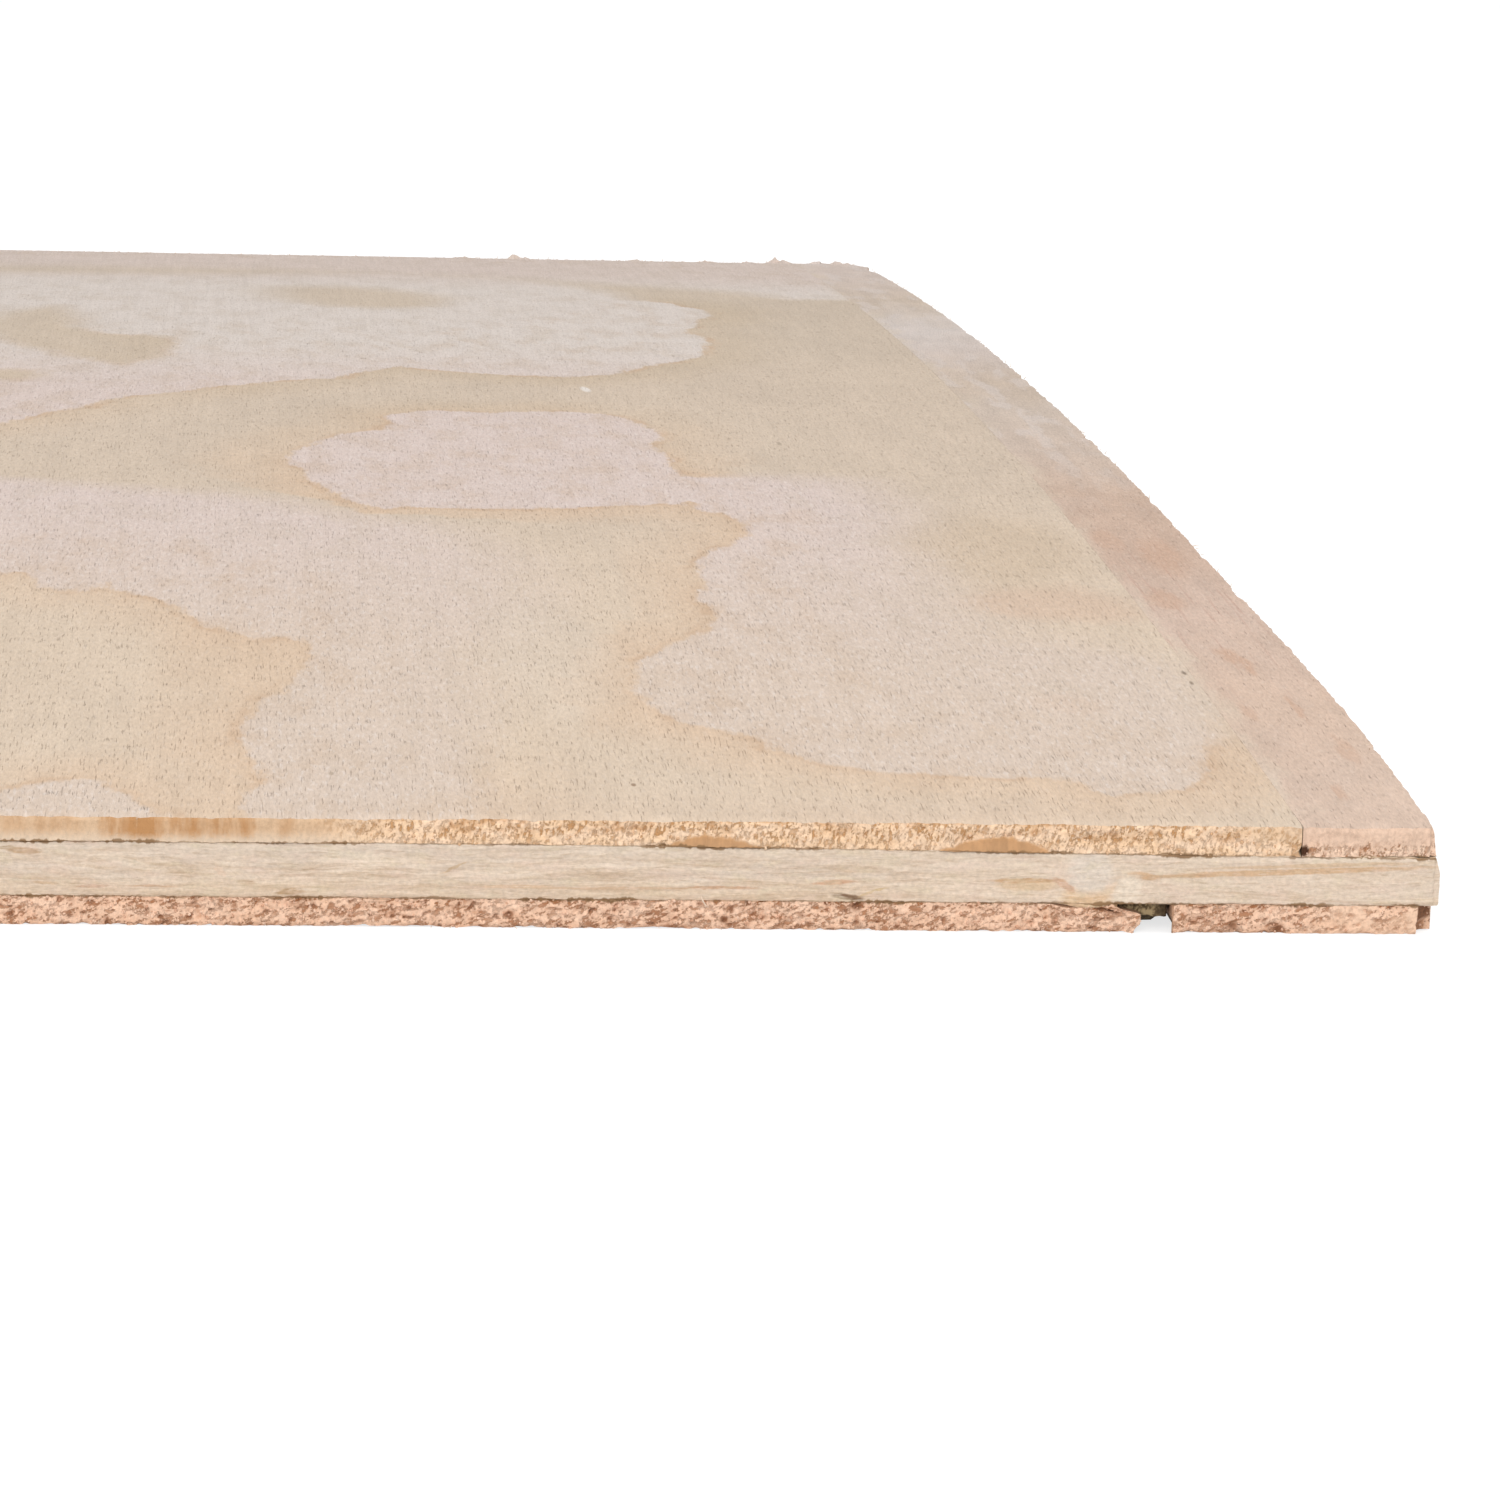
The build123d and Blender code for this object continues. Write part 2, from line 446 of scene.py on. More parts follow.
# Marks of late growth and folds on the core's front edge: the middle, across the sheet and up it, the reach
# both ways, the lean in degrees, how strong, and the colour.
LATE_GROWTH = [
    ((291.5, 3.43), (10.5, 0.22), 2.4, 0.95, (0.59, 0.395, 0.245)),
    ((293.5, 3.82), (8.0, 0.14), 2.0, 0.75, (0.60, 0.425, 0.275)),
    ((284.0, 3.16), (1.1, 0.26), -8.0, 0.95, (0.57, 0.37, 0.225)),
    ((277.9, 2.6), (2.3, 0.4), 0.0, 0.85, (0.635, 0.465, 0.305)),
    ((283.2, 2.3), (1.3, 0.9), 62.0, 0.85, (0.755, 0.645, 0.525)),
    ((280.9, 1.75), (1.75, 1.15), 0.0, 1.0, (0.645, 0.45, 0.285)),
    ((282.2, 2.35), (0.8, 0.22), 48.0, 0.6, (0.66, 0.48, 0.33)),
    ((281.1, 3.3), (1.75, 1.55), 0.0, 0.95, (0.685, 0.59, 0.50)),
    ((277.6, 2.84), (2.4, 0.17), 0.0, 0.95, (0.545, 0.345, 0.20)),
    ((279.75, 2.62), (0.85, 0.25), -33.0, 0.95, (0.575, 0.365, 0.24)),
    ((250.3, 2.3), (2.5, 0.14), 0.5, 0.7, (0.64, 0.44, 0.29)),
    ((256.0, 2.25), (7.0, 0.1), 0.4, 0.6, (0.58, 0.39, 0.26)),
    ((261.3, 2.32), (2.6, 0.12), 0.2, 0.85, (0.54, 0.34, 0.22)),
    ((267.3, 2.66), (1.4, 0.18), 3.0, 0.85, (0.57, 0.335, 0.215)),
    ((268.2, 1.86), (1.1, 0.2), -9.0, 0.95, (0.18, 0.10, 0.055)),
    ((269.4, 2.12), (1.0, 0.1), 20.0, 0.7, (0.56, 0.40, 0.20)),
    ((224.3, 4.05), (1.1, 0.26), -4.0, 0.85, (0.45, 0.29, 0.165)),
    ((223.4, 4.2), (0.7, 0.1), 8.0, 0.7, (0.40, 0.27, 0.15)),
    ((227.9, 2.13), (1.2, 0.1), 1.0, 0.8, (0.50, 0.31, 0.20)),
    ((231.0, 2.17), (1.6, 0.1), 0.5, 0.7, (0.54, 0.35, 0.23)),
    ((225.5, 2.3), (0.8, 0.12), -3.0, 0.6, (0.55, 0.38, 0.24)),
    ((238.3, 1.93), (1.0, 0.27), 4.0, 0.85, (0.43, 0.28, 0.155)),
    ((236.1, 2.4), (0.6, 0.2), -10.0, 0.6, (0.52, 0.36, 0.24)),
    ((234.6, 3.0), (0.6, 0.22), -35.0, 0.5, (0.68, 0.48, 0.35)),
    ((230.0, 3.4), (2.5, 0.3), -14.0, 0.6, (0.745, 0.625, 0.505)),
    ((247.0, 3.3), (1.0, 0.1), 25.0, 0.6, (0.52, 0.35, 0.2)),
    ((241.5, 3.9), (2.4, 0.3), 2.0, 0.6, (0.75, 0.64, 0.51)),
]
RIGHT_THROUGH = 1000.0


def core_long_grain():
    """Pale peeled wood cut along the grain: soft, fuzzy streaks and a few reddish marks of late growth."""
    wood = BareWood("core_long_grain")
    place = wood.place
    height = place.axis("Z")
    bent = place.wavered((11.0, 11.0, 3.0), (0.0, 0.0, 0.9), 2.0)
    bent = bent.wavered((1.5, 1.5, 0.6), (0.9, 0.0, 0.3), 6.0)
    streaks = bent.noise((6.0, 6.0, 0.36), 6.0, 0.68)
    fibres = bent.noise((0.9, 0.9, 0.09), 3.0, 0.6, 5.0)
    clouds = bent.noise((4.0, 4.0, 1.0), 4.0, 0.6, 9.0)
    late = bent.noise((26.0, 26.0, 0.34), 3.0, 0.7, 25.0)
    fuzz = place.noise((0.28, 0.28, 0.2), 3.0, 0.65, 13.0)
    blush = place.noise((1.6, 1.6, 0.6), 3.0, 0.6, 44.0)
    rightward = place.axis("X").fade(266.0, 277.0)
    low_down = height.fade(LOWER_GLUE + 0.3, LOWER_GLUE + 1.4, 0.5, 0.0)
    wood.tint = wood.mix(streaks.fade(0.36, 0.64), (0.74, 0.61, 0.49), (0.56, 0.425, 0.31))
    wood.lay(clouds.fade(0.42, 0.64, 0.0, 0.65), (0.635, 0.53, 0.44))
    wood.lay(low_down * (1.0 - rightward), (0.64, 0.485, 0.345))
    wood.lay(height.fade(UPPER_GLUE - 1.2, UPPER_GLUE - 0.3, 0.0, 0.45), (0.68, 0.57, 0.465))
    wood.lay(rightward * 0.55, (0.71, 0.58, 0.46))
    wood.lay(late.fade(0.6, 0.72, 0.0, 0.4), (0.55, 0.40, 0.28))
    wobbly = place.wavered((0.9, 0.9, 0.5), (0.7, 0.0, 0.13), 31.0)
    wobbly = wobbly.wavered((0.3, 0.3, 0.2), (0.25, 0.0, 0.1), 37.0)
    for (x, up), (reach_x, reach_up), lean, strength, late_colour in LATE_GROWTH:
        mark = wobbly.inside((x, 0.0, up), (reach_x, RIGHT_THROUGH, reach_up), (0.0, -lean, 0.0))
        wood.lay(mark.fade(0.0, 0.45, 0.0, strength), late_colour)
    wood.lay(fibres.fade(0.54, 0.68, 0.0, 0.42), (0.47, 0.34, 0.225))
    wood.lay(fibres.fade(0.32, 0.46, 0.42, 0.0), (0.79, 0.665, 0.545))
    wood.lay(blush.fade(0.5, 0.7, 0.0, 0.35), (0.71, 0.54, 0.445))
    wood.lay(blush.fade(0.3, 0.46, 0.35, 0.0), (0.645, 0.545, 0.385))
    wood.mottle(fuzz, 0.89, 1.1)
    glue_stain(wood, (LOWER_GLUE, UPPER_GLUE))
    return wood.finish(fibres * 0.35 + (streaks * 0.4 + fuzz * 0.7), 0.07)


def core_end_grain():
    """The same pale wood cut across the grain: close pores in upright rows."""
    wood = BareWood("core_end_grain")
    pores = wood.place.noise((0.3, 0.16, 0.16), 3.0, 0.6)
    rings = wood.place.noise((3.0, 24.0, 0.5), 2.0, 0.5, 4.0)
    wood.tint = wood.mix(rings.fade(0.3, 0.7), (0.71, 0.57, 0.445), (0.61, 0.46, 0.335))
    wood.lay(pores.fade(0.55, 0.8, 0.0, 0.6), (0.42, 0.27, 0.16))
    glue_stain(wood, (LOWER_GLUE, UPPER_GLUE))
    return wood.finish(pores, 0.12)


def core_glued_face():
    """The core's broad faces under the glue, which show only where the veneers beside them have chipped."""
    wood = BareWood("core_glued_face")
    streaks = wood.place.noise((9.0, 0.4, 1.0), 4.0, 0.6)
    wood.tint = wood.mix(streaks, (0.74, 0.59, 0.44), (0.52, 0.38, 0.25))
    return wood.finish(streaks, 0.08)


def dress(piece, top, ends, sides, underside):
    """Gives a veneer its woods."""
    for material in (top, ends, sides, underside):
        piece.data.materials.append(material)


glued_face = core_glued_face()
dress(core, glued_face, core_long_grain(), core_end_grain(), glued_face)
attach(core, "root")
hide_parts("core_veneer")

# The face veneer is a wide sheet of rosy, close-grained wood, peeled thin so that the growth rings show as
# a map of blotches. It is glued over the core with its grain from front to back, and sanded.
FACE_THICKNESS = (top_radius - upper_glue_radius) / MM
BUTTED_CORNER = (0.02 * MM, 0.02 * MM)
FRONT_ROUNDING = 0.08
FIGURED_FROM = 204 * MM
# Bare patches low on the front edge, where a flake has left a smooth face: its left end, crest and right end
# across the sheet, and its height.
FLAKES = [(258.3, 260.3, 263.6, 0.66), (272.8, 276.3, 279.1, 0.78)]
# Lumps of torn grain that stand up on the back arris: the middle across the sheet, half the width and height.
LUMPS = [
    (258.2, 0.7, 0.12), (263.6, 0.4, 0.5), (264.5, 0.3, 0.25), (276.0, 0.5, 0.15), (283.5, 0.6, 0.15),
    (287.8, 0.4, 0.2), (290.5, 0.55, 0.55), (291.6, 0.4, 0.3), (295.0, 0.7, 0.3), (297.0, 0.5, 0.35),
    (298.1, 0.3, 0.2),
]


def crumbled(x, along, height, size, depth):
    """How far end grain has crumbled in: bits of a size with pits between, deeper in patches."""
    spot = Vector((x / size, along / size, height / size))
    bits = 0.5 + 0.5 * noise.noise(spot * 1.4, noise_basis="VORONOI_F1")
    coarse = 0.5 + 0.6 * rough(x, along, height + 15, size * 1.5, size * 1.5, size)
    fine = 0.5 + 0.6 * rough(x, along, height + 25, size * 0.5, size * 0.5, size * 0.6)
    patch = ease(rough(x, along, height + 60, 2.2, 2.2, 0.9), -0.45, 0.45)
    return depth * (0.1 + (0.45 + 0.7 * patch) * (0.3 * bits + 0.45 * coarse + 0.25 * fine))


def nicked(x, along, reach):
    """How much is nicked off an arris: many small nicks and a few larger ones."""
    small = max(0.0, rough(x, along, 3, 0.45, 0.45, 1.0))
    large = max(0.0, rough(x, along, 8, 2.6, 2.6, 1.0) - 0.2)
    return reach * (small + 1.6 * large)


def smoothed(x, height):
    """How far the saw has rubbed the front's end grain smooth, at a hot spot and beyond, and the flakes."""
    hot = ease(x, 207, 214) * (1 - ease(x, 238, 245))
    chance = ease(rough(x, 0, 0, 26, 26, 26), 0.2, 0.45) * (1 - ease(x, 197, 207))
    ragged = 0.12 * rough(x, 0, height, 0.5, 1, 0.3) + 0.06 * rough(x, 0, height, 0.17, 1, 0.12)
    flake = 0.0
    for left, crest, right, rise in FLAKES:
        share = (crest - x) / (crest - left) if x < crest else (x - crest) / (right - crest)
        if share < 1:
            flake = max(flake, ease(rise * (1 - share**1.7) + ragged - height, -0.04, 0.06))
    return max(hot, chance), flake


def face_wall(edge, x, along, height):
    """The face veneer's walls: crumbled end grain at the front and back, a clean cut at the joint."""
    arris = 0.07 * near(FACE_THICKNESS - height, 0.1) * (1 + rough(x, along, 5, 0.8, 0.8, 0.8))
    if edge in ("front", "back"):
        rub, flake = smoothed(x, height) if edge == "front" else (0.0, 0.0)
        high_up = ease(height + 0.3 * rough(x, 0, 9, 0.5, 1, 1), 0.55, 0.8)
        rub = max(rub, 0.5 * ease(x, 288.2, 290.5) * high_up)
        upper = 0.55 + 0.45 * ease(height, 0.25, 0.8)
        depth = crumbled(x, along, height, 0.33, 0.4) * upper * (1 - 0.8 * max(rub, flake))
        return 0.03 + depth + arris, max(rub, flake), 0.85 * flake
    if edge == "right":
        # The joint's wall is painted dark near the front, most near the foot: painted shade in the crack and
        # the hole where the face meets its edge strip.
        return 0.004, 0.0, near(along - front, 2.5) * (0.5 + 0.5 * near(height - 0.3, 0.5))
    return 0.08 + 0.06 * rough(x, along, height, 5, 12, 0.4) + arris, 0.0, 0.0


def seam_gap(along, height):
    """How far the joint with the edge strip has opened: a crack at the front, with a hole at its foot."""
    from_front = along - front
    crack = 0.018 * math.exp(-from_front / 2.5) * (1 + rough(0, along, height, 1, 1.5, 0.4))
    return crack + 0.15 * near(height - 0.26, 0.18) * near(from_front, 1.6)


def upper_loss(edge, x, along):
    """What is lost from the face's upper arris: nicks, a rounding in front, less the lumps at the back."""
    lump = 0.0
    if edge == "back":
        stand = sum(rise * near(x - middle, reach) for middle, reach, rise in LUMPS)
        lump = stand * (1 + rough(x, 0, 0, 0.35, 1, 1))
    elif edge == "front":
        lump = -FRONT_ROUNDING
    return nicked(x, along, 0.1) - lump


def face_chips(edge, x, along):
    """What is lost from the face's arrises: the wandering glue line below, and the upper arris."""
    return upper_sway(x, along), 0.0 if edge == "right" else upper_loss(edge, x, along)


face = veneer_mesh(
    "face", -core_high.x, face_high.x, upper_glue_radius, top_radius,
    {"front_right": BUTTED_CORNER, "back_right": BUTTED_CORNER}, face_wall, rows=18,
    set_back=seam_gap, chips=face_chips, figured_from=FIGURED_FROM,
)

# The outlines of the pale patches on the flat sheet, and of the tan bays in them: across, along and, where
# the rim fades, how far it does so.
PALE_PATCHES = [
    [(247, -10), (250, -7), (255, -7.5), (260, -6), (264, -8.5), (266, -14), (267, -20), (266, -26),
     (266.5, -31), (266, -35), (267.5, -39), (268, -44), (267, -52), (264, -53.5), (258, -55.5),
     (251, -56.5), (247, -56), (245, -57.5), (243.5, -54), (242, -50), (240.5, -45), (240, -40),
     (238.5, -35), (239.5, -31), (241, -26), (243, -21), (246, -18), (247, -14)],
    [(266, -41), (270, -40, 1.5), (273, -39.5, 4), (279, -42, 6), (281, -52, 6), (280.5, -70, 7),
     (281, -85, 7), (283, -100, 7), (288, -104, 6), (291.8, -108, 4), (292.5, -122, 3), (291, -130, 1.5),
     (289.5, -134), (289.2, -139), (287, -142), (283, -143.2), (281, -139.5), (276, -139.2), (271, -138.5),
     (268, -136.5), (265.5, -134), (264.5, -130), (263, -128), (260.5, -126), (259, -121), (258.3, -117),
     (259.5, -110), (261.5, -105), (264, -100), (265.5, -96), (264.5, -90), (264.8, -86), (265.5, -80),
     (266, -74), (268, -70), (269.5, -66), (270.5, -60), (269, -58), (267, -55)],
    [(190, -46, 3), (219, -46, 3), (230, -50, 4), (238, -54, 4), (243, -60, 4), (249, -64, 5),
     (253, -76, 6), (254, -92, 6), (251, -105, 5), (250, -118, 4), (249.5, -130, 3), (248.5, -140, 2),
     (249, -153, 2), (236, -153), (235.5, -148), (237, -143), (236.5, -138), (235.5, -133), (236, -126),
     (237.5, -121), (238.5, -117), (239.5, -112), (239.8, -106), (239, -103.5), (236.5, -104), (234, -100),
     (232, -96), (230, -92), (228.5, -90), (227, -86), (225, -90), (223, -88), (222, -83), (219.5, -84),
     (216, -86), (212, -82), (206, -80), (190, -84)],
    [(223, -153), (222.7, -146), (225, -142.5), (228, -141.8), (229.5, -145), (231.5, -149), (232.5, -153)],
    [(190, -36, 1), (206, -30), (212, -24), (217.5, -18), (221, -12), (224, -7), (227, -1), (230, 2),
     (234, 6), (238, 10), (243, 13), (245.5, 18), (248, 22), (252, 19.5), (257, 17), (262, 16), (266, 18.5),
     (268, 24), (271, 28), (274, 33), (275, 40), (275.5, 48), (274.5, 56), (276, 64), (277.5, 70),
     (278, 77), (275, 84), (272, 88, 2), (270, 97, 3), (267, 106, 5), (262, 116, 8), (250, 122, 8),
     (235, 115, 8), (220, 112, 8), (190, 112, 6)],
    [(190, 121, 9), (240, 122, 9), (262, 113, 9), (275, 106, 6), (283, 100, 5), (287, 92, 3), (293, 93, 3),
     (294, 153), (190, 153)],
]
TAN_BAYS = [
    [(212, 52, 3), (215, 64, 3), (219, 71, 3), (221.5, 62, 3), (221.5, 50, 2), (224, 44.5, 1.5),
     (229, 44, 1.5), (230.2, 38, 1.5), (229.5, 27, 2), (226, 20.5, 2), (222.5, 24, 2), (219.5, 30, 2),
     (216.5, 36, 2), (213, 44, 3)],
    [(239.5, 98, 5), (246, 99, 5), (252, 93, 4), (254.5, 86, 4), (253.5, 77, 3), (248, 73.5, 3),
     (243, 75.5, 3), (239, 82, 4), (237.5, 91, 5)],
    [(214, 9, 2), (218, 8, 2), (220, 11, 2), (219.5, 14.5, 2), (216, 16, 2), (213, 13, 2)],
]
CRISP = 0.3


def depth_inside(outline_points, spots):
    """How far inside an outline each spot is, less than nothing outside, and how soft the rim is near it."""
    start = np.array([(*p, CRISP)[:3] for p in outline_points], float)
    run = np.roll(start, -1, 0) - start
    gap = spots[:, None] - start[None, :, :2]
    share = np.clip((gap * run[:, :2]).sum(-1) / (run[:, :2] ** 2).sum(-1), 0, 1)
    distance = np.linalg.norm(gap - share[..., None] * run[:, :2], axis=-1)
    weight = (distance + 0.5) ** -4
    softness = (weight * (start[:, 2] + share * run[:, 2])).sum(1) / weight.sum(1)
    passed = (gap[..., 1] < 0) != (gap[..., 1] < run[:, 1])
    level = gap[..., 1] / np.where(run[:, 1] == 0, 1.0, run[:, 1])
    crossings = (passed & (gap[..., 0] < level * run[:, 0])).sum(1)
    return np.where(crossings % 2 == 1, 1, -1) * distance.min(1), softness


def lay_figure(mesh):
    """Keeps how far inside a pale patch each point of a veneer is, and how soft the patch's rim is there."""
    spots = np.empty(3 * len(mesh.vertices))
    mesh.vertices.foreach_get("co", spots)
    x, y, z = spots.reshape(-1, 3).T
    flat = np.stack([x, middle_radius * np.arctan2(y, z - bow_axis_z)], 1) / MM
    depth, softness = depth_inside(PALE_PATCHES[0], flat)
    for patch in PALE_PATCHES[1:]:
        other_depth, other_softness = depth_inside(patch, flat)
        softness = np.where(other_depth > depth, other_softness, softness)
        depth = np.maximum(depth, other_depth)
    for bay in TAN_BAYS:
        other_depth, other_softness = depth_inside(bay, flat)
        softness = np.where(-other_depth < depth, other_softness, softness)
        depth = np.minimum(depth, -other_depth)
    store(mesh, "pale_depth", depth)
    store(mesh, "pale_softness", softness)


lay_figure(face.data)

# How the rims of the patches stray: the size of the strays across, along and up, how far, and a shift.
RIM_STRAYS = [((4.0, 7.0, 20.0), 2.6, 0.0), ((0.9, 2.6, 20.0), 1.5, 7.0), ((0.22, 1.1, 20.0), 0.9, 3.0)]
# Stains and specks on the face: the middle, across and along the sheet, the reach both ways, the turn, how
# strong, and the colour. Those wider than a speck are pushed about with the figure.
STAINS = [
    ((287, -90), (6.5, 9), 12, 0.7, (0.66, 0.485, 0.365)),
    ((272, -151), (24, 12), 0, 0.75, (0.675, 0.512, 0.385)),
    ((250, -150), (10, 9), 0, 0.4, (0.675, 0.52, 0.39)),
    ((284, -121), (3, 3.5), 0, 0.35, (0.67, 0.51, 0.40)),
    ((286, -70), (8, 20), 0, 0.6, (0.615, 0.48, 0.35)),
    ((234, -110), (6, 14), 0, 0.4, (0.66, 0.485, 0.345)),
    ((254, -108), (5, 24), 0, 0.4, (0.68, 0.575, 0.475)),
    ((262.8, 8), (0.5, 2.4), 4, 0.8, (0.84, 0.78, 0.73)),
    ((278.5, -80), (0.28, 0.7), 0, 0.45, (0.36, 0.28, 0.21)),
    ((275.5, -23), (0.25, 1.3), 0, 0.6, (0.36, 0.29, 0.22)),
    ((292.1, -111.3), (0.18, 0.8), 0, 0.8, (0.24, 0.18, 0.13)),
    ((292.1, -114.2), (0.16, 0.7), 0, 0.7, (0.24, 0.18, 0.13)),
    ((257.0, -142), (0.2, 0.5), 0, 0.8, (0.28, 0.18, 0.11)),
    ((240.6, -140), (0.18, 0.6), 0, 0.6, (0.36, 0.28, 0.20)),
]
SPECK_REACH = 2


def lay_stain(wood, place, centre, reach, turn, strength, colour):
    """Lays an oval stain with a soft rim on a wood's broad face."""
    inside = place.inside((*centre, 0.0), (*reach, 1.0), (0.0, 0.0, turn))
    wood.lay(inside.fade(0.0, 0.6 * reach[0] / min(reach), 0.0, strength), colour)


def face_figure():
    """The peeled face: pale rosy patches with ragged rims on tan, and fine pores along the grain."""
    wood = BareWood("face_figure")
    flat = wood.place.flattened()
    along = flat.axis("Y")
    depth, softness = wood.given("pale_depth"), wood.given("pale_softness")
    for sizes, reach, shift in RIM_STRAYS:
        depth = (flat.noise(sizes, shift=shift) - 0.5) * reach + depth
    crisp = softness.fade(0.5, 3.5, 1.0, 0.0)
    pale = (depth / softness.math("MAXIMUM", 0.4)).fade(-1.0, 1.0)
    rim = depth.fade(-1.3, -0.2) * crisp
    glow = depth.fade(-9.0, -0.5) * crisp
    moved = flat.wavered((9.0, 18.0, 20.0), (6.0, 11.0, 0.0), 0.0)
    ring = (moved.noise((50.0, 110.0, 80.0), 1.0, 0.4, 2.0) * 8.0).math("FRACT")
    border = flat.noise((20.0, 32.0, 60.0), 2.0, 0.5, 77.0) * 36.0 + flat.axis("X")
    beyond = border.fade(215.0, 222.0, 1.0, 0.0)
    within = 1.0 - beyond
    ring_pale = ring.fade(0.25, 0.8) * ring.fade(0.985, 0.998, 1.0, 0.0)
    pale = pale * within + ring_pale * beyond
    glow = glow * within + ring.fade(0.0, 0.09, 1.0, 0.0) * beyond
    drift = moved.noise((13.0, 34.0, 60.0), 3.0, 0.55, 14.0)
    cloud = flat.noise((2.6, 7.0, 60.0), 4.0, 0.62, 19.0)
    pale = pale * cloud.fade(0.3, 0.6, 0.72, 1.0)
    unpale = 1.0 - pale
    # Part of how these colours change from front to back is painted light falloff: the tan and warm tones are
    # painted lighter at the front, and all three turn greyer towards the back.
    tan = wood.mix(along.fade(-120.0, -30.0), (0.684, 0.554, 0.43), (0.648, 0.530, 0.420))
    tan = wood.mix(along.fade(0.0, 60.0), tan, (0.618, 0.51, 0.405))
    warm = wood.mix(along.fade(-60.0, 40.0), (0.688, 0.508, 0.364), (0.605, 0.485, 0.36))
    rosy = wood.mix(along.fade(-120.0, -45.0), (0.672, 0.55, 0.458), (0.684, 0.566, 0.516))
    rosy = wood.mix(along.fade(0.0, 45.0), rosy, (0.70, 0.622, 0.568))
    rosy = wood.mix(along.fade(95.0, 125.0), rosy, (0.67, 0.56, 0.50))
    wood.tint = wood.mix(glow * drift.fade(0.3, 0.6, 0.35, 0.8), tan, warm)
    wood.mottle(drift, 1.03, 0.97)
    wood.lay(pale, rosy)
    for centre, reach, turn, strength, colour in STAINS:
        lay_stain(wood, moved if reach[0] > SPECK_REACH else flat, centre, reach, turn, strength, colour)
    broken = flat.noise((3.0, 5.0, 20.0), 2.0, 0.5, 51.0).fade(0.4, 0.62, 0.08, 0.6)
    wood.lay(rim * within * unpale * broken, (0.58, 0.395, 0.26))
    streak = flat.noise((0.5, 22.0, 30.0), 4.0, 0.6, 30.0)
    fuzz = flat.noise((0.16, 0.8, 1.0), 3.0, 0.65, 33.0)
    wood.mottle(streak, 1.035, 0.96)
    wood.mottle(cloud, 0.965, 1.03)
    wood.mottle(fuzz, 0.915, 1.1)
    flecks = flat.noise((0.28, 1.3, 3.0), 3.0, 0.6, 61.0)
    wood.lay(flecks.fade(0.53, 0.68) * (pale * 0.34 + 0.12), (0.81, 0.72, 0.665))
    wood.lay(flecks.fade(0.34, 0.46, 1.0, 0.0) * 0.12, (0.56, 0.41, 0.295))
    dashes = flat.noise((0.1, 1.8, 3.0), 2.0, 0.55, 21.0).fade(0.6, 0.74)
    wood.lay(dashes * (unpale * 0.17 + 0.07), (0.53, 0.33, 0.18))
    return wood.finish(dashes * -0.7 + (fuzz * 0.9 + (streak + flecks)), 0.07)


# How hot the saw ran along the front edge, from cool to scorched, by the place across the sheet.
SAW_HEAT = [
    (220.0, 0.12), (223.2, 0.16), (223.5, 0.4), (224.1, 0.35), (224.5, 0.1), (225.0, 0.32), (227.1, 0.3),
    (227.6, 0.03), (228.1, 0.08), (228.4, 0.68), (229.8, 0.62), (230.0, 1.0), (231.5, 1.0), (231.8, 0.55),
    (233.4, 0.72), (233.8, 0.4), (234.3, 0.62), (236.3, 0.66), (236.6, 0.12), (237.4, 0.1), (237.7, 0.42),
    (238.4, 0.38), (238.8, 0.1), (240.2, 0.2), (241.5, 0.0),
]


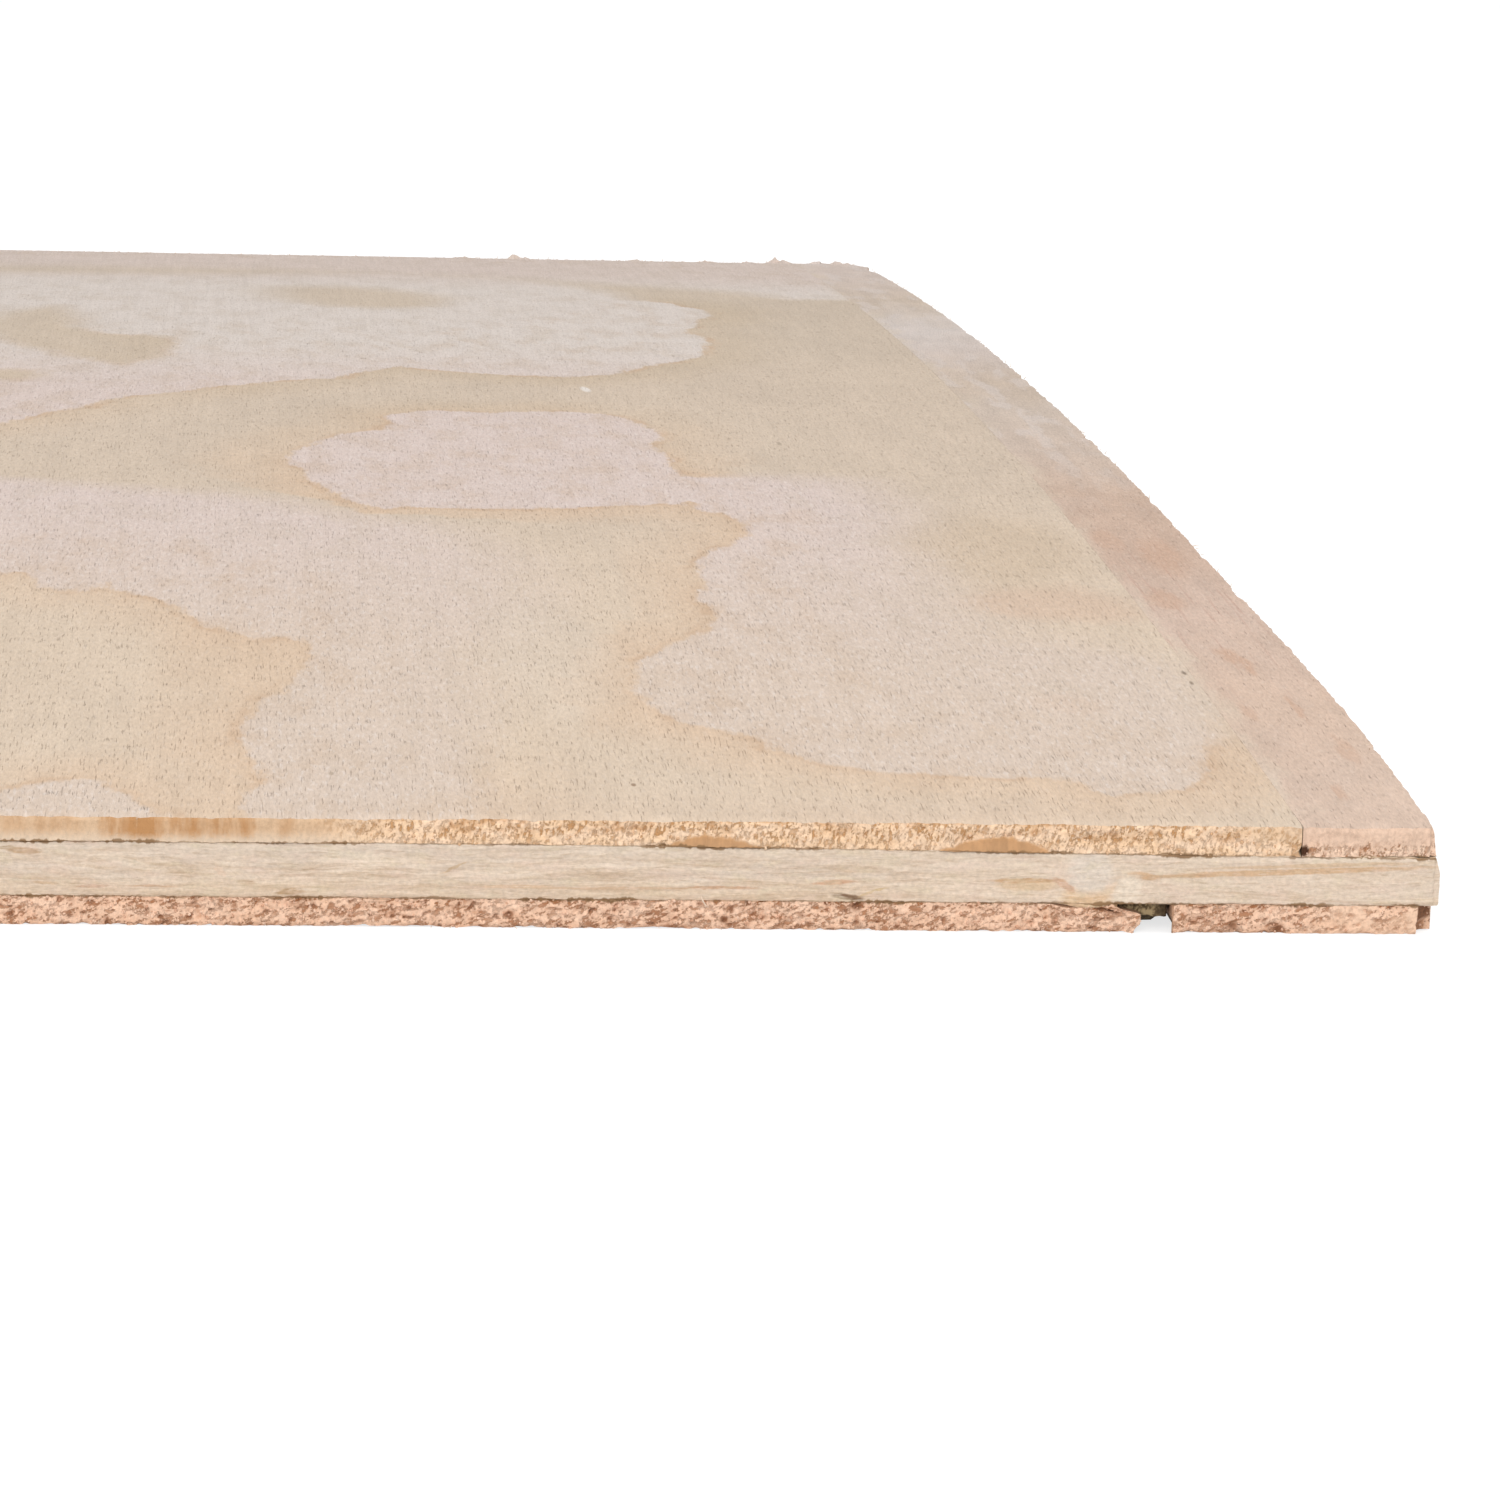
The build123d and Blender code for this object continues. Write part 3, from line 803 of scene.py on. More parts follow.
def end_grain(
    name, light, middle, dark, scorch_and_shade, smooth, glue_height, lean, pit_size, pit_heights, pit_shares
):
    """Crumbled end grain: light bits, darker pits in leaning runs, smooth where rubbed, dark where scarred
    and where shade is painted. The pits' dark is partly painted shade. Smooth wood has a lower and an upper
    colour.
    Pits go from one share to another between two heights."""
    wood = BareWood(name)
    place = wood.place
    height = place.axis("Z")
    torn, rubbed, scars_and_shade = wood.given("torn"), wood.given("rubbed"), wood.given("scars_and_shade")
    leaning = place.by("Mapping", {"Rotation": (0.0, math.radians(lean), 0.0)})
    crumbs = place.noise((0.2, 0.2, 0.22), 4.0, 0.7)
    runs = leaning.noise(pit_size, 4.0, 0.66, 12.0)
    patches = place.noise((2.2, 2.2, 0.9), 3.0, 0.6, 8.0)
    wood.tint = wood.mix(patches.fade(0.35, 0.65), light, middle)
    wood.mottle(crumbs, 0.8, 1.16)
    many = patches.fade(0.34, 0.56, 0.25, 1.0) * height.fade(*pit_heights, *pit_shares)
    pitted = (crumbs * -0.5 + runs).fade(0.25, 0.36)
    # The pits are painted darker, in the dark colour mixed in part with the scorch colour, and more where the
    # wall has torn deepest: partly the end grain's own dark, partly painted shade in the hollows.
    hollow = pitted.math("MAXIMUM", torn.fade(0.22, 0.4, 0.0, 0.8)) * many
    wood.lay(hollow, wood.mix(runs.fade(0.56, 0.7, 0.0, 0.5), dark, scorch_and_shade))
    rise = (crumbs - 0.5) * 0.5 + height
    brushed = place.noise((0.45, 9.0, 2.0), 3.0, 0.6, 16.0)
    smooth_wood = wood.mix(rise.fade(UPPER_GLUE + 0.05, UPPER_GLUE + 0.85), *smooth)
    smooth_wood = wood.mottled(wood.mottled(smooth_wood, crumbs, 0.9, 1.09), brushed, 1.04, 0.95)
    wood.lay(rubbed, smooth_wood)
    strayed = place.wavered((0.5, 0.5, 0.35), (0.45, 0.0, 0.0), 71.0)
    warmth = strayed.axis("X").ramp([(spot, (heat, heat, heat)) for spot, heat in SAW_HEAT])
    hot = (warmth * brushed.fade(0.34, 0.66, 0.65, 1.35)).math("MINIMUM", 1.0)
    low = (rise - (warmth * -0.25 + (UPPER_GLUE + 0.48))).fade(-0.3, 0.32)
    wood.lay(rubbed * hot * low, scorch_and_shade)
    # Marked spots are laid in the scorch colour: scars and flakes, and painted shade in holes, deep pits and
    # a break that faces away from the light.
    wood.lay(scars_and_shade, wood.mottled(scorch_and_shade, brushed, 1.15, 0.88))
    glue_stain(wood, (glue_height,))
    return wood.finish((pitted * -0.6 + crumbs) * rubbed.fade(0.0, 0.8, 1.0, 0.25), 0.06)


def side_grain(name, light, dark):
    """Thin wood sawn along its grain: fine straight streaks from front to back."""
    wood = BareWood(name)
    streaks = wood.place.noise((0.5, 18.0, 0.14), 4.0, 0.6)
    fibres = wood.place.noise((0.3, 2.6, 0.07), 2.0, 0.5, 6.0)
    wood.tint = wood.mix(streaks.fade(0.3, 0.7), light, dark)
    wood.lay(fibres.fade(0.6, 0.85, 0.0, 0.5), (0.40, 0.24, 0.14))
    glue_stain(wood, (LOWER_GLUE, UPPER_GLUE))
    # Marked spots are painted near black: painted shade in the crack at the face's seam and in the open joint
    # of the back.
    wood.lay(wood.given("scars_and_shade"), (0.12, 0.06, 0.03))
    return wood.finish(streaks, 0.1)


face_ends = end_grain(
    "face_end_grain", light=(0.85, 0.62, 0.44), middle=(0.80, 0.55, 0.35), dark=(0.51, 0.255, 0.10),
    scorch_and_shade=(0.485, 0.25, 0.105), smooth=((0.69, 0.535, 0.395), (0.655, 0.46, 0.30)), glue_height=UPPER_GLUE,
    lean=74, pit_size=(0.5, 0.7, 0.24),
    pit_heights=(UPPER_GLUE + 0.2, UPPER_GLUE + 0.6), pit_shares=(0.5, 0.9),
)
face_sides = side_grain("face_side_grain", (0.68, 0.52, 0.39), (0.55, 0.37, 0.25))
dress(face, face_figure(), face_ends, face_sides, face_sides)
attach(face, "root")
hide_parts("face_veneer")

# The face's edge strip is a narrow offcut of pinker veneer, butted to the wide sheet to make up the width.
# The saw has trimmed its outer side ragged, and a sliver has split off at its back corner.
strip_low, strip_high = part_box("face_edge_strip")
TRIMMED_CORNER = (0.25 * MM, 0.5 * MM)
FACE_SLIVER = (1.5 * MM, 12 * MM)


def face_strip_wall(edge, x, along, height):
    """The strip's walls: crumbled ends, a clean cut at the joint, a ragged saw cut outside."""
    arris = 0.08 * near(FACE_THICKNESS - height, 0.12) * (1 + rough(x, along, 5, 0.8, 0.8, 0.8))
    from_front = along - front
    if edge in ("front", "back"):
        rub = 0.7 * ease(height + 0.4 * rough(x, along, 9, 0.6, 0.6, 1), 0.35, 0.7)
        # The hole at the foot of the seam is painted near black: painted shade in the hole.
        hole = near(x - strip_low.x / MM - 0.14, 0.27) * near(height - 0.3, 0.25) if along < 0 else 0.0
        hole = ease(hole, 0.2, 0.5)
        crumbs = crumbled(x, along, height, 0.3, 0.36 - 0.22 * rub)
        return 0.03 + crumbs + arris + 0.4 * hole, rub * (1 - hole), hole
    if edge == "left":
        # The joint's wall is painted dark near the front: painted shade in the crack where the strip meets
        # the wide face.
        return 0.004, 0.0, near(from_front, 2.5)
    chips = max(0.0, rough(x, along, height, 3, 3.2, 2) - 0.15)
    chips += 0.4 * max(0.0, rough(x, along, height, 1, 0.9, 1))
    proud = 0.2 * (1 - height / FACE_THICKNESS) * near(from_front, 14) + 0.45 * near(along + 118, 26)
    proud += 0.5 * near(along - 144.5, 1.8) - 0.4 * near(along - 139, 2.5)
    return 0.04 + 0.04 * rough(x, along, height, 5, 14, 0.4) + 0.4 * chips + arris - proud, 0.0, 0.0


def face_strip_chips(edge, x, along):
    """What is lost from the strip's arrises: a lifted, crumbled foot at the front, and the upper arris."""
    lifted = 0.0
    if edge == "front":
        lifted = 0.09 * ease(x, 296.6, 297.8) * (1 + rough(x, along, 4, 0.6, 0.6, 1.0))
    return upper_sway(x, along) + lifted, 0.0 if edge == "left" else upper_loss(edge, x, along)


face_strip_corners = {
    "front_left": BUTTED_CORNER, "back_left": BUTTED_CORNER,
    "front_right": TRIMMED_CORNER, "back_right": FACE_SLIVER,
}
face_strip = veneer_mesh(
    "face_strip", strip_low.x, strip_high.x, upper_glue_radius, top_radius, face_strip_corners,
    face_strip_wall, rows=18, chips=face_strip_chips,
)

# The strip's colour from front to back: how far along the sheet, and the colour there.
STRIP_COLOURS = [
    (-142, (0.660, 0.500, 0.400)), (-118, (0.658, 0.489, 0.384)), (-94, (0.648, 0.487, 0.396)),
    (-70, (0.592, 0.429, 0.336)), (-46, (0.602, 0.443, 0.346)), (-22, (0.615, 0.495, 0.412)),
    (2, (0.612, 0.507, 0.426)), (14, (0.600, 0.484, 0.388)), (38, (0.650, 0.550, 0.490)),
    (62, (0.670, 0.592, 0.546)), (92, (0.610, 0.500, 0.405)), (125, (0.652, 0.545, 0.480)),
]
# Redder marks on the strip: the middle, across and along the sheet, the reach both ways, and how strong.
STRIP_MARKS = [
    ((295.6, -106), (0.9, 4.5), 0.75), ((296.4, -109), (0.45, 3.0), 0.75), ((297.3, -121), (0.4, 4.5), 0.7),
    ((294.6, -88), (1.6, 5.0), 0.6), ((296.8, -72), (2.2, 9.0), 0.6), ((294.2, -122), (0.6, 4.0), 0.5),
    ((298.2, -132), (0.7, 5.0), 0.5), ((294.0, -66), (1.2, 6.0), 0.5), ((296.0, -141), (0.5, 2.5), 0.6),
]


def strip_figure():
    """The strip's face: straight, pinker grain, redder along part of its length."""
    wood = BareWood("strip_figure")
    flat = wood.place.flattened()
    along = flat.axis("Y")
    wood.tint = flat.wavered((3.0, 16.0, 60.0), (0.0, 26.0, 0.0), 27.0).axis("Y").ramp(STRIP_COLOURS)
    wood.mottle(flat.noise((1.6, 60.0, 60.0), 4.0, 0.62, 3.0), 1.05, 0.95)
    wood.mottle(flat.noise((2.6, 7.0, 60.0), 4.0, 0.62, 19.0), 0.93, 1.06)
    from_seam = flat.noise((2.0, 8.0, 60.0), 4.0, 0.6, 88.0) * 7.0 + flat.axis("X")
    wood.lay(from_seam.fade(294.6, 297.6, 0.7, 0.0), (0.675, 0.565, 0.45))
    redder = along.fade(-135.0, -100.0) * along.fade(-75.0, -40.0, 1.0, 0.0)
    lines = flat.noise((0.35, 16.0, 60.0), 3.0, 0.6, 47.0).fade(0.55, 0.72)
    wood.lay(redder * lines * 0.6, (0.53, 0.335, 0.26))
    strayed = flat.wavered((1.0, 4.0, 60.0), (0.9, 6.0, 0.0), 55.0)
    for centre, reach, strength in STRIP_MARKS:
        lay_stain(wood, strayed, centre, reach, 0.0, strength, (0.60, 0.395, 0.285))
    bleached = flat.noise((2.2, 11.0, 60.0), 3.0, 0.55, 66.0).fade(0.5, 0.62)
    wood.lay(bleached * along.fade(-60.0, -10.0, 0.05, 0.5), (0.69, 0.605, 0.56))
    fuzz = flat.noise((0.16, 0.8, 1.0), 3.0, 0.65, 33.0)
    wood.mottle(fuzz, 0.89, 1.09)
    flecks = flat.noise((0.28, 1.3, 3.0), 3.0, 0.6, 61.0)
    wood.lay(flecks.fade(0.54, 0.69, 0.0, 0.28), (0.77, 0.63, 0.54))
    dashes = flat.noise((0.09, 1.6, 3.0), 2.0, 0.55, 21.0).fade(0.63, 0.77)
    wood.lay(dashes * 0.2, (0.42, 0.26, 0.17))
    return wood.finish(dashes * -0.7 + fuzz, 0.07)


# The strip's scorch colour is near black and is all painted shade: it is laid in the hole at the foot of the
# seam and mixed into the darkest pits.
strip_ends = end_grain(
    "strip_end_grain", light=(0.83, 0.60, 0.45), middle=(0.77, 0.53, 0.385), dark=(0.50, 0.255, 0.14),
    scorch_and_shade=(0.07, 0.028, 0.013), smooth=((0.69, 0.485, 0.365), (0.675, 0.48, 0.365)), glue_height=UPPER_GLUE,
    lean=74, pit_size=(0.5, 0.7, 0.24),
    pit_heights=(UPPER_GLUE + 0.35, UPPER_GLUE + 0.75), pit_shares=(1.0, 0.2),
)
strip_sides = side_grain("strip_side_grain", (0.66, 0.48, 0.37), (0.53, 0.35, 0.25))
dress(face_strip, strip_figure(), strip_ends, strip_sides, strip_sides)
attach(face_strip, "root")
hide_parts("face_edge_strip")

# The back veneer is a wide sheet of redder, coarser wood under the core, grain from front to back. Its lip
# at the open joint has split away from the core and broken off in a ragged tongue.
BACK_THICKNESS = (lower_glue_radius - underside_radius) / MM
LIP_SPLIT_WIDTH, LIP_SPLIT_HEIGHT = 1.3, 0.6
LIP_CORNER = (0.08 * MM, 0.1 * MM)
# Deep pits in the end grain of the back: the middle, across the sheet and up the veneer, and the size.
PITS = [
    (289.0, 0.35, 0.3), (291.5, 0.2, 0.24), (250.0, 0.7, 0.2), (268.6, 1.3, 0.25), (282.75, 1.2, 0.22),
    (261.5, 0.5, 0.2),
]


def back_end(x, along, height):
    """The back's end grain: coarsely crumbled, with dark pits, partly painted shade, and a ragged lower
    arris.
    """
    dark_pits = ease(rough(x, along, height + 80, 0.42, 0.42, 0.28), 0.3, 0.55)
    arris = 0.1 * near(height, 0.14) * (1 + rough(x, along, 4, 0.7, 0.7, 0.7))
    pit, rub = 0.0, 0.0
    if along < 0:
        pit = max(near(math.hypot(x - across, height - up), size) for across, up, size in PITS)
        rub = 0.65 * ease(x, 292.0, 295.5) * ease(rough(x, along, height, 0.9, 0.9, 0.5), -0.5, 0.1)
    depth = crumbled(x, along, height + 9, 0.36, 0.34 - 0.14 * rub) + 0.12 * dark_pits + 0.3 * pit + arris
    # Deep pits and patches of pits are painted dark through the marks: partly the wood's own dark, partly
    # painted shade in the hollows.
    return 0.02 + depth, rub, max(0.5 * dark_pits * (1 - rub), 0.8 * pit)


def back_lip(along, height):
    """How far the lip at the open joint has broken in: split under the core, a ragged tongue below."""
    ragged = 0.5 + 0.5 * rough(5, along, height, 1.0, 2.4, 0.5)
    split = LIP_SPLIT_WIDTH * ease(height, BACK_THICKNESS - LIP_SPLIT_HEIGHT, BACK_THICKNESS - 0.15)
    worn_under = max(0.0, 0.5 - height) * 1.3
    return 0.04 * ragged + split + worn_under * (0.6 + 0.5 * ragged)


def back_wall(edge, x, along, height):
    """The back veneer's walls: coarsely crumbled ends, the broken lip at the joint."""
    if edge in ("front", "back"):
        return back_end(x, along, height)
    if edge == "right":
        # The wall at the open joint is painted dark: painted shade inside the joint.
        return 0.01 + 0.03 * (1 + rough(x, along, height, 2, 3, 0.3)), 0.0, 0.7
    return 0.12 + 0.06 * rough(x, along, height, 5, 12, 0.4), 0.0, 0.0


back = veneer_mesh(
    "back", -core_high.x, back_high.x, underside_radius, lower_glue_radius, {"front_right": LIP_CORNER},
    back_wall, rows=20, set_back=back_lip,
    chips=lambda edge, x, along: (nicked(x, along, 0.12), -lower_sway(x, along)),
)


def back_figure():
    """The underside: plain reddish peeled wood with long soft blotches and open pores."""
    wood = BareWood("back_figure")
    flat = wood.place.flattened()
    moved = flat.wavered((14.0, 26.0, 20.0), (8.0, 14.0, 0.0), 5.0)
    ring = (moved.noise((40.0, 130.0, 80.0), 1.0, 0.4, 40.0) * 6.0).math("FRACT")
    wood.tint = wood.mix(ring.fade(0.05, 0.95), (0.70, 0.49, 0.36), (0.60, 0.38, 0.26))
    wood.mottle(flat.noise((0.13, 0.8, 1.0), 3.0, 0.65, 33.0), 0.9, 1.09)
    dashes = flat.noise((0.16, 3.0, 3.0), 2.0, 0.55, 21.0).fade(0.56, 0.72)
    wood.lay(dashes * 0.5, (0.34, 0.18, 0.11))
    return wood.finish(dashes * -1.0, 0.08)


back_face = back_figure()
# The back's scorch colour is laid in its deep pits, its dark pit patches and the broken corner of its strip:
# partly painted shade.
back_ends = end_grain(
    "back_end_grain", light=(0.85, 0.585, 0.43), middle=(0.785, 0.505, 0.35), dark=(0.41, 0.175, 0.08),
    scorch_and_shade=(0.24, 0.105, 0.05), smooth=((0.81, 0.565, 0.405), (0.81, 0.565, 0.405)), glue_height=LOWER_GLUE,
    lean=20, pit_size=(0.62, 0.7, 0.26),
    pit_heights=(LOWER_GLUE - 0.5, LOWER_GLUE - 0.1), pit_shares=(0.85, 1.0),
)
back_sides = side_grain("back_side_grain", (0.60, 0.38, 0.26), (0.43, 0.24, 0.145))
dress(back, back_sides, back_ends, back_sides, back_face)
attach(back, "root")
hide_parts("back_veneer")

# The back's edge strip is a second piece of the same veneer, laid with an open joint beside the wide sheet.
# Its outer front corner has broken off along the grain.
back_strip_low, back_strip_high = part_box("back_edge_strip")
BACK_BREAK = (1.0 * MM, 1.4 * MM, True)
JOINT_CORNER = (0.12 * MM, 0.2 * MM)
BREAK_FROM_X = 290


def back_strip_wall(edge, x, along, height):
    """The strip's walls: coarsely crumbled ends, rough sides and a splintered break at the corner, with
    painted shade on the break.
    """
    if edge == "front" and along > front + 0.02 and x > BREAK_FROM_X:
        sloped = 0.5 * ease(1.0 - height, 0.0, 0.8)
        splintered = 0.1 * (0.5 + 0.5 * rough(x, along, height, 0.5, 0.9, 0.5))
        # The break faces away from the light, so its upper part is painted dark: painted shade.
        return splintered + sloped, 0.0, ease(height, 0.5, 0.9)
    if edge in ("front", "back"):
        return back_end(x, along, height)
    chips = max(0.0, rough(x, along, height, 3, 4.5, 3) - 0.25) * ease(along - front, 2.0, 12.0)
    worn_under = 0.4 * ease(1.0 - height, 0.0, 1.0) if edge == "left" else 0.0
    uneven = 0.04 * (1 + rough(x, along, height, 5, 12, 0.4)) * chips
    return 0.01 + uneven + 0.3 * chips + worn_under, 0.0, 0.0


back_strip = veneer_mesh(
    "back_strip", back_strip_low.x, back_strip_high.x, underside_radius, lower_glue_radius,
    {"front_right": BACK_BREAK, "front_left": JOINT_CORNER}, back_strip_wall, rows=20,
    chips=lambda edge, x, along: (nicked(x, along, 0.05), -lower_sway(x, along)),
)
dress(back_strip, back_sides, back_ends, back_sides, back_face)
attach(back_strip, "root")
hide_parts("back_edge_strip")

# Dried glue and dust fill the open joint behind its mouth, dark, lumpy and dull; the fill is also painted
# dark to stand in for the shade inside the joint. It clings to the underside of the core and hangs down
# between the two pieces of the back.
GLUE_SET_BACK = 0.6 * MM
GLUE_CLEARANCE = 0.1 * MM
GLUE_LIFT = 0.93


def glue_wall(edge, x, along, height):
    """The glue's walls: lumpy, with a ragged mouth."""
    return 0.02 + 0.06 * (0.5 + 0.5 * rough(x, along, height, 0.4, 0.4, 0.4)), 0.0, 0.0


def glue_chips(edge, x, along):
    """How far the glue stops above the underside, ragged and less at one side, and below the core."""
    return GLUE_LIFT - 0.16 * ease(x, 283.4, 285.4) + 0.14 * rough(x, along, 2, 0.5, 0.8, 1.0), 0.02


def glue_and_joint_shade():
    """Dark brown dried glue, lumpy and dull, painted darkest beside the strip as shade deep in the joint."""
    wood = BareWood("glue_and_joint_shade")
    lumps = wood.place.noise((0.3, 0.4, 0.3), 3.0, 0.6)
    wood.tint = wood.mix(lumps.fade(0.4, 0.6), (0.10, 0.066, 0.032), (0.36, 0.27, 0.15))
    # Painted shade: the fill is laid nearly black beside the strip, deepest in the joint.
    wood.lay(wood.place.axis("X").fade(284.6, 285.2, 0.0, 0.85), (0.05, 0.03, 0.015))
    return wood.finish(lumps, 0.1)


joint_glue_and_shade = veneer_mesh(
    "joint_glue_and_shade", back_high.x - LIP_SPLIT_WIDTH * MM, back_strip_low.x - GLUE_CLEARANCE,
    underside_radius, lower_glue_radius, {}, glue_wall, rows=6,
    chips=glue_chips, half_length=half_depth - GLUE_SET_BACK,
)
dress(joint_glue_and_shade, *[glue_and_joint_shade()] * 4)
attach(joint_glue_and_shade, "root")

# Crumbs of end grain cling to the sawn front and back edges of the face and the back, too many to place by
# hand. Each is a bit of the same wood, torn loose and rubbed round.
CRUMB_SIZE = 0.1 * MM
END_SLOT = 1
RUBBED_CLEAN = 0.35
MM2_PER_M2 = 1e6
FULL_TURN = 6.28


def result_of(tree, kind, inputs=None, output=0, **settings):
    """What a new node makes of its inputs."""
    return node(tree, kind, inputs, **settings).outputs[output]


def scatter_tree(name, inputs, output):
    """A new tree of nodes with named inputs and one result: the tree and its inputs."""
    tree = bpy.data.node_groups.new(name, "GeometryNodeTree")
    for label, kind in inputs.items():
        tree.interface.new_socket(label, in_out="INPUT", socket_type="NodeSocket" + kind)
    tree.interface.new_socket(output, in_out="OUTPUT", socket_type="NodeSocketGeometry")
    return tree, node(tree, "NodeGroupInput").outputs


def by_chance(tree, low, high, seed):
    """A number by chance between two others, or three numbers where low and high are threes."""
    if isinstance(low, tuple):
        inputs = {0: low, 1: high, "Seed": seed}
        return result_of(tree, "FunctionNodeRandomValue", inputs, 0, data_type="FLOAT_VECTOR")
    return result_of(tree, "FunctionNodeRandomValue", {2: low, 3: high, "Seed": seed}, 1, data_type="FLOAT")


def any_turn(tree, seed):
    """A turn by chance about every axis."""
    return by_chance(tree, (0.0, 0.0, 0.0), (FULL_TURN, FULL_TURN, FULL_TURN), seed)


def given_out(tree, bits, wood, output):
    """Makes the scattered bits real, in their wood, as the tree's result."""
    real = result_of(tree, "GeometryNodeRealizeInstances", {"Geometry": bits})
    wooden = result_of(tree, "GeometryNodeSetMaterial", {"Geometry": real, "Material": wood})
    node(tree, "NodeGroupOutput", {output: wooden})
    return tree


def crumb_scatter():
    """A tree that scatters crumbs over the end grain of a veneer."""
    inputs = {
        "Veneer": "Geometry", "Crumbs per mm2": "Float", "Crumb size": "Float", "Wood": "Material",
        "Seed": "Int",
    }
    tree, given = scatter_tree("crumb_scatter", inputs, "Crumbs")
    slot_number = result_of(tree, "GeometryNodeInputMaterialIndex")
    inputs = {2: slot_number, 3: END_SLOT}
    on_ends = result_of(tree, "FunctionNodeCompare", inputs, data_type="INT", operation="EQUAL")
    inputs = {"Name": "rubbed"}
    rubbed = result_of(tree, "GeometryNodeInputNamedAttribute", inputs, "Attribute", data_type="FLOAT")
    inputs = {0: rubbed, 1: RUBBED_CLEAN}
    unrubbed = result_of(tree, "FunctionNodeCompare", inputs, data_type="FLOAT", operation="LESS_THAN")
    chosen = result_of(tree, "FunctionNodeBooleanMath", {0: on_ends, 1: unrubbed}, operation="AND")
    inputs = {0: given["Crumbs per mm2"], 1: MM2_PER_M2}
    density = result_of(tree, "ShaderNodeMath", inputs, operation="MULTIPLY")
    inputs = {"Mesh": given["Veneer"], "Selection": chosen, "Density": density, "Seed": given["Seed"]}
    points = result_of(tree, "GeometryNodeDistributePointsOnFaces", inputs, "Points")
    ball = result_of(tree, "GeometryNodeMeshIcoSphere", {"Radius": 1.0, "Subdivisions": 1}, "Mesh")
    crumb = result_of(tree, "GeometryNodeSetShadeSmooth", {"Geometry": ball})
    turn = any_turn(tree, given["Seed"])
    stretch = by_chance(tree, (0.35, 0.35, 0.35), (1.3, 1.3, 1.3), 5)
    inputs = {0: stretch, "Scale": given["Crumb size"]}
    scale = result_of(tree, "ShaderNodeVectorMath", inputs, operation="SCALE")
    inputs = {"Points": points, "Instance": crumb, "Rotation": turn, "Scale": scale}
    placed = result_of(tree, "GeometryNodeInstanceOnPoints", inputs)
    inputs = {"Geometry": placed, "Name": "shade", "Value": by_chance(tree, 0.0, 1.0, 9)}
    shaded = result_of(tree, "GeometryNodeStoreNamedAttribute", inputs, data_type="FLOAT", domain="INSTANCE")
    return given_out(tree, shaded, given["Wood"], "Crumbs")


def grown(name, mesh, tree, settings):
    """A plain piece made by running a tree on a mesh, with the tree's inputs set by name."""
    holder = set_out(name + "_holder", mesh)
    modifier = holder.modifiers.new(name, "NODES")
    modifier.node_group = tree
    for item in tree.interface.items_tree:
        if item.item_type == "SOCKET" and item.name in settings:
            modifier[item.identifier] = settings[item.name]
    graph = bpy.context.evaluated_depsgraph_get()
    made = bpy.data.meshes.new_from_object(holder.evaluated_get(graph), depsgraph=graph)
    bpy.data.objects.remove(holder)
    return set_out(name, made)


def crumb_wood(name, light, dark):
    """Loose bits of end grain, each a little lighter or darker."""
    wood = BareWood(name)
    fine = wood.place.noise((0.06, 0.06, 0.06))
    wood.tint = wood.mix(wood.given("shade"), light, dark)
    wood.mottle(fine, 0.85, 1.1)
    return wood.finish(fine, 0.03)


crumbs_of = crumb_scatter()
face_crumb_wood = crumb_wood("face_crumb_wood", (0.82, 0.61, 0.43), (0.66, 0.41, 0.235))
strip_crumb_wood = crumb_wood("strip_crumb_wood", (0.82, 0.61, 0.475), (0.66, 0.435, 0.32))
back_crumb_wood = crumb_wood("back_crumb_wood", (0.86, 0.615, 0.465), (0.64, 0.365, 0.24))
for name, veneer, wood, slot, share, seed in (
    ("face_crumbs", face, face_crumb_wood, "face_wood", 2.2, 3),
    ("face_strip_crumbs", face_strip, strip_crumb_wood, "face_strip_wood", 3.0, 4),
    ("back_crumbs", back, back_crumb_wood, "back_wood", 3.0, 5),
    ("back_strip_crumbs", back_strip, back_crumb_wood, "back_wood", 3.4, 6),
):
    settings = {"Crumbs per mm2": share, "Crumb size": CRUMB_SIZE, "Wood": wood, "Seed": seed}
    crumbs = grown(name, veneer.data, crumbs_of, settings)
    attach(crumbs, "root")

# Fine splinters stand off the arrises where the saw came through, each a thin sliver of pale wood. A hair of
# the same wood hangs from the lower glue line at the front.
SPLINTER_LENGTH = 0.5 * MM
SPLINTER_INSET = 0.12 * MM
SPLINTERS_KEPT = 0.6
# Where the lower arris ends at the open joint, and how far above the underside its splinters stand.
LOWER_END_X = 283 * MM
LOWER_LIFT = 0.1 * MM


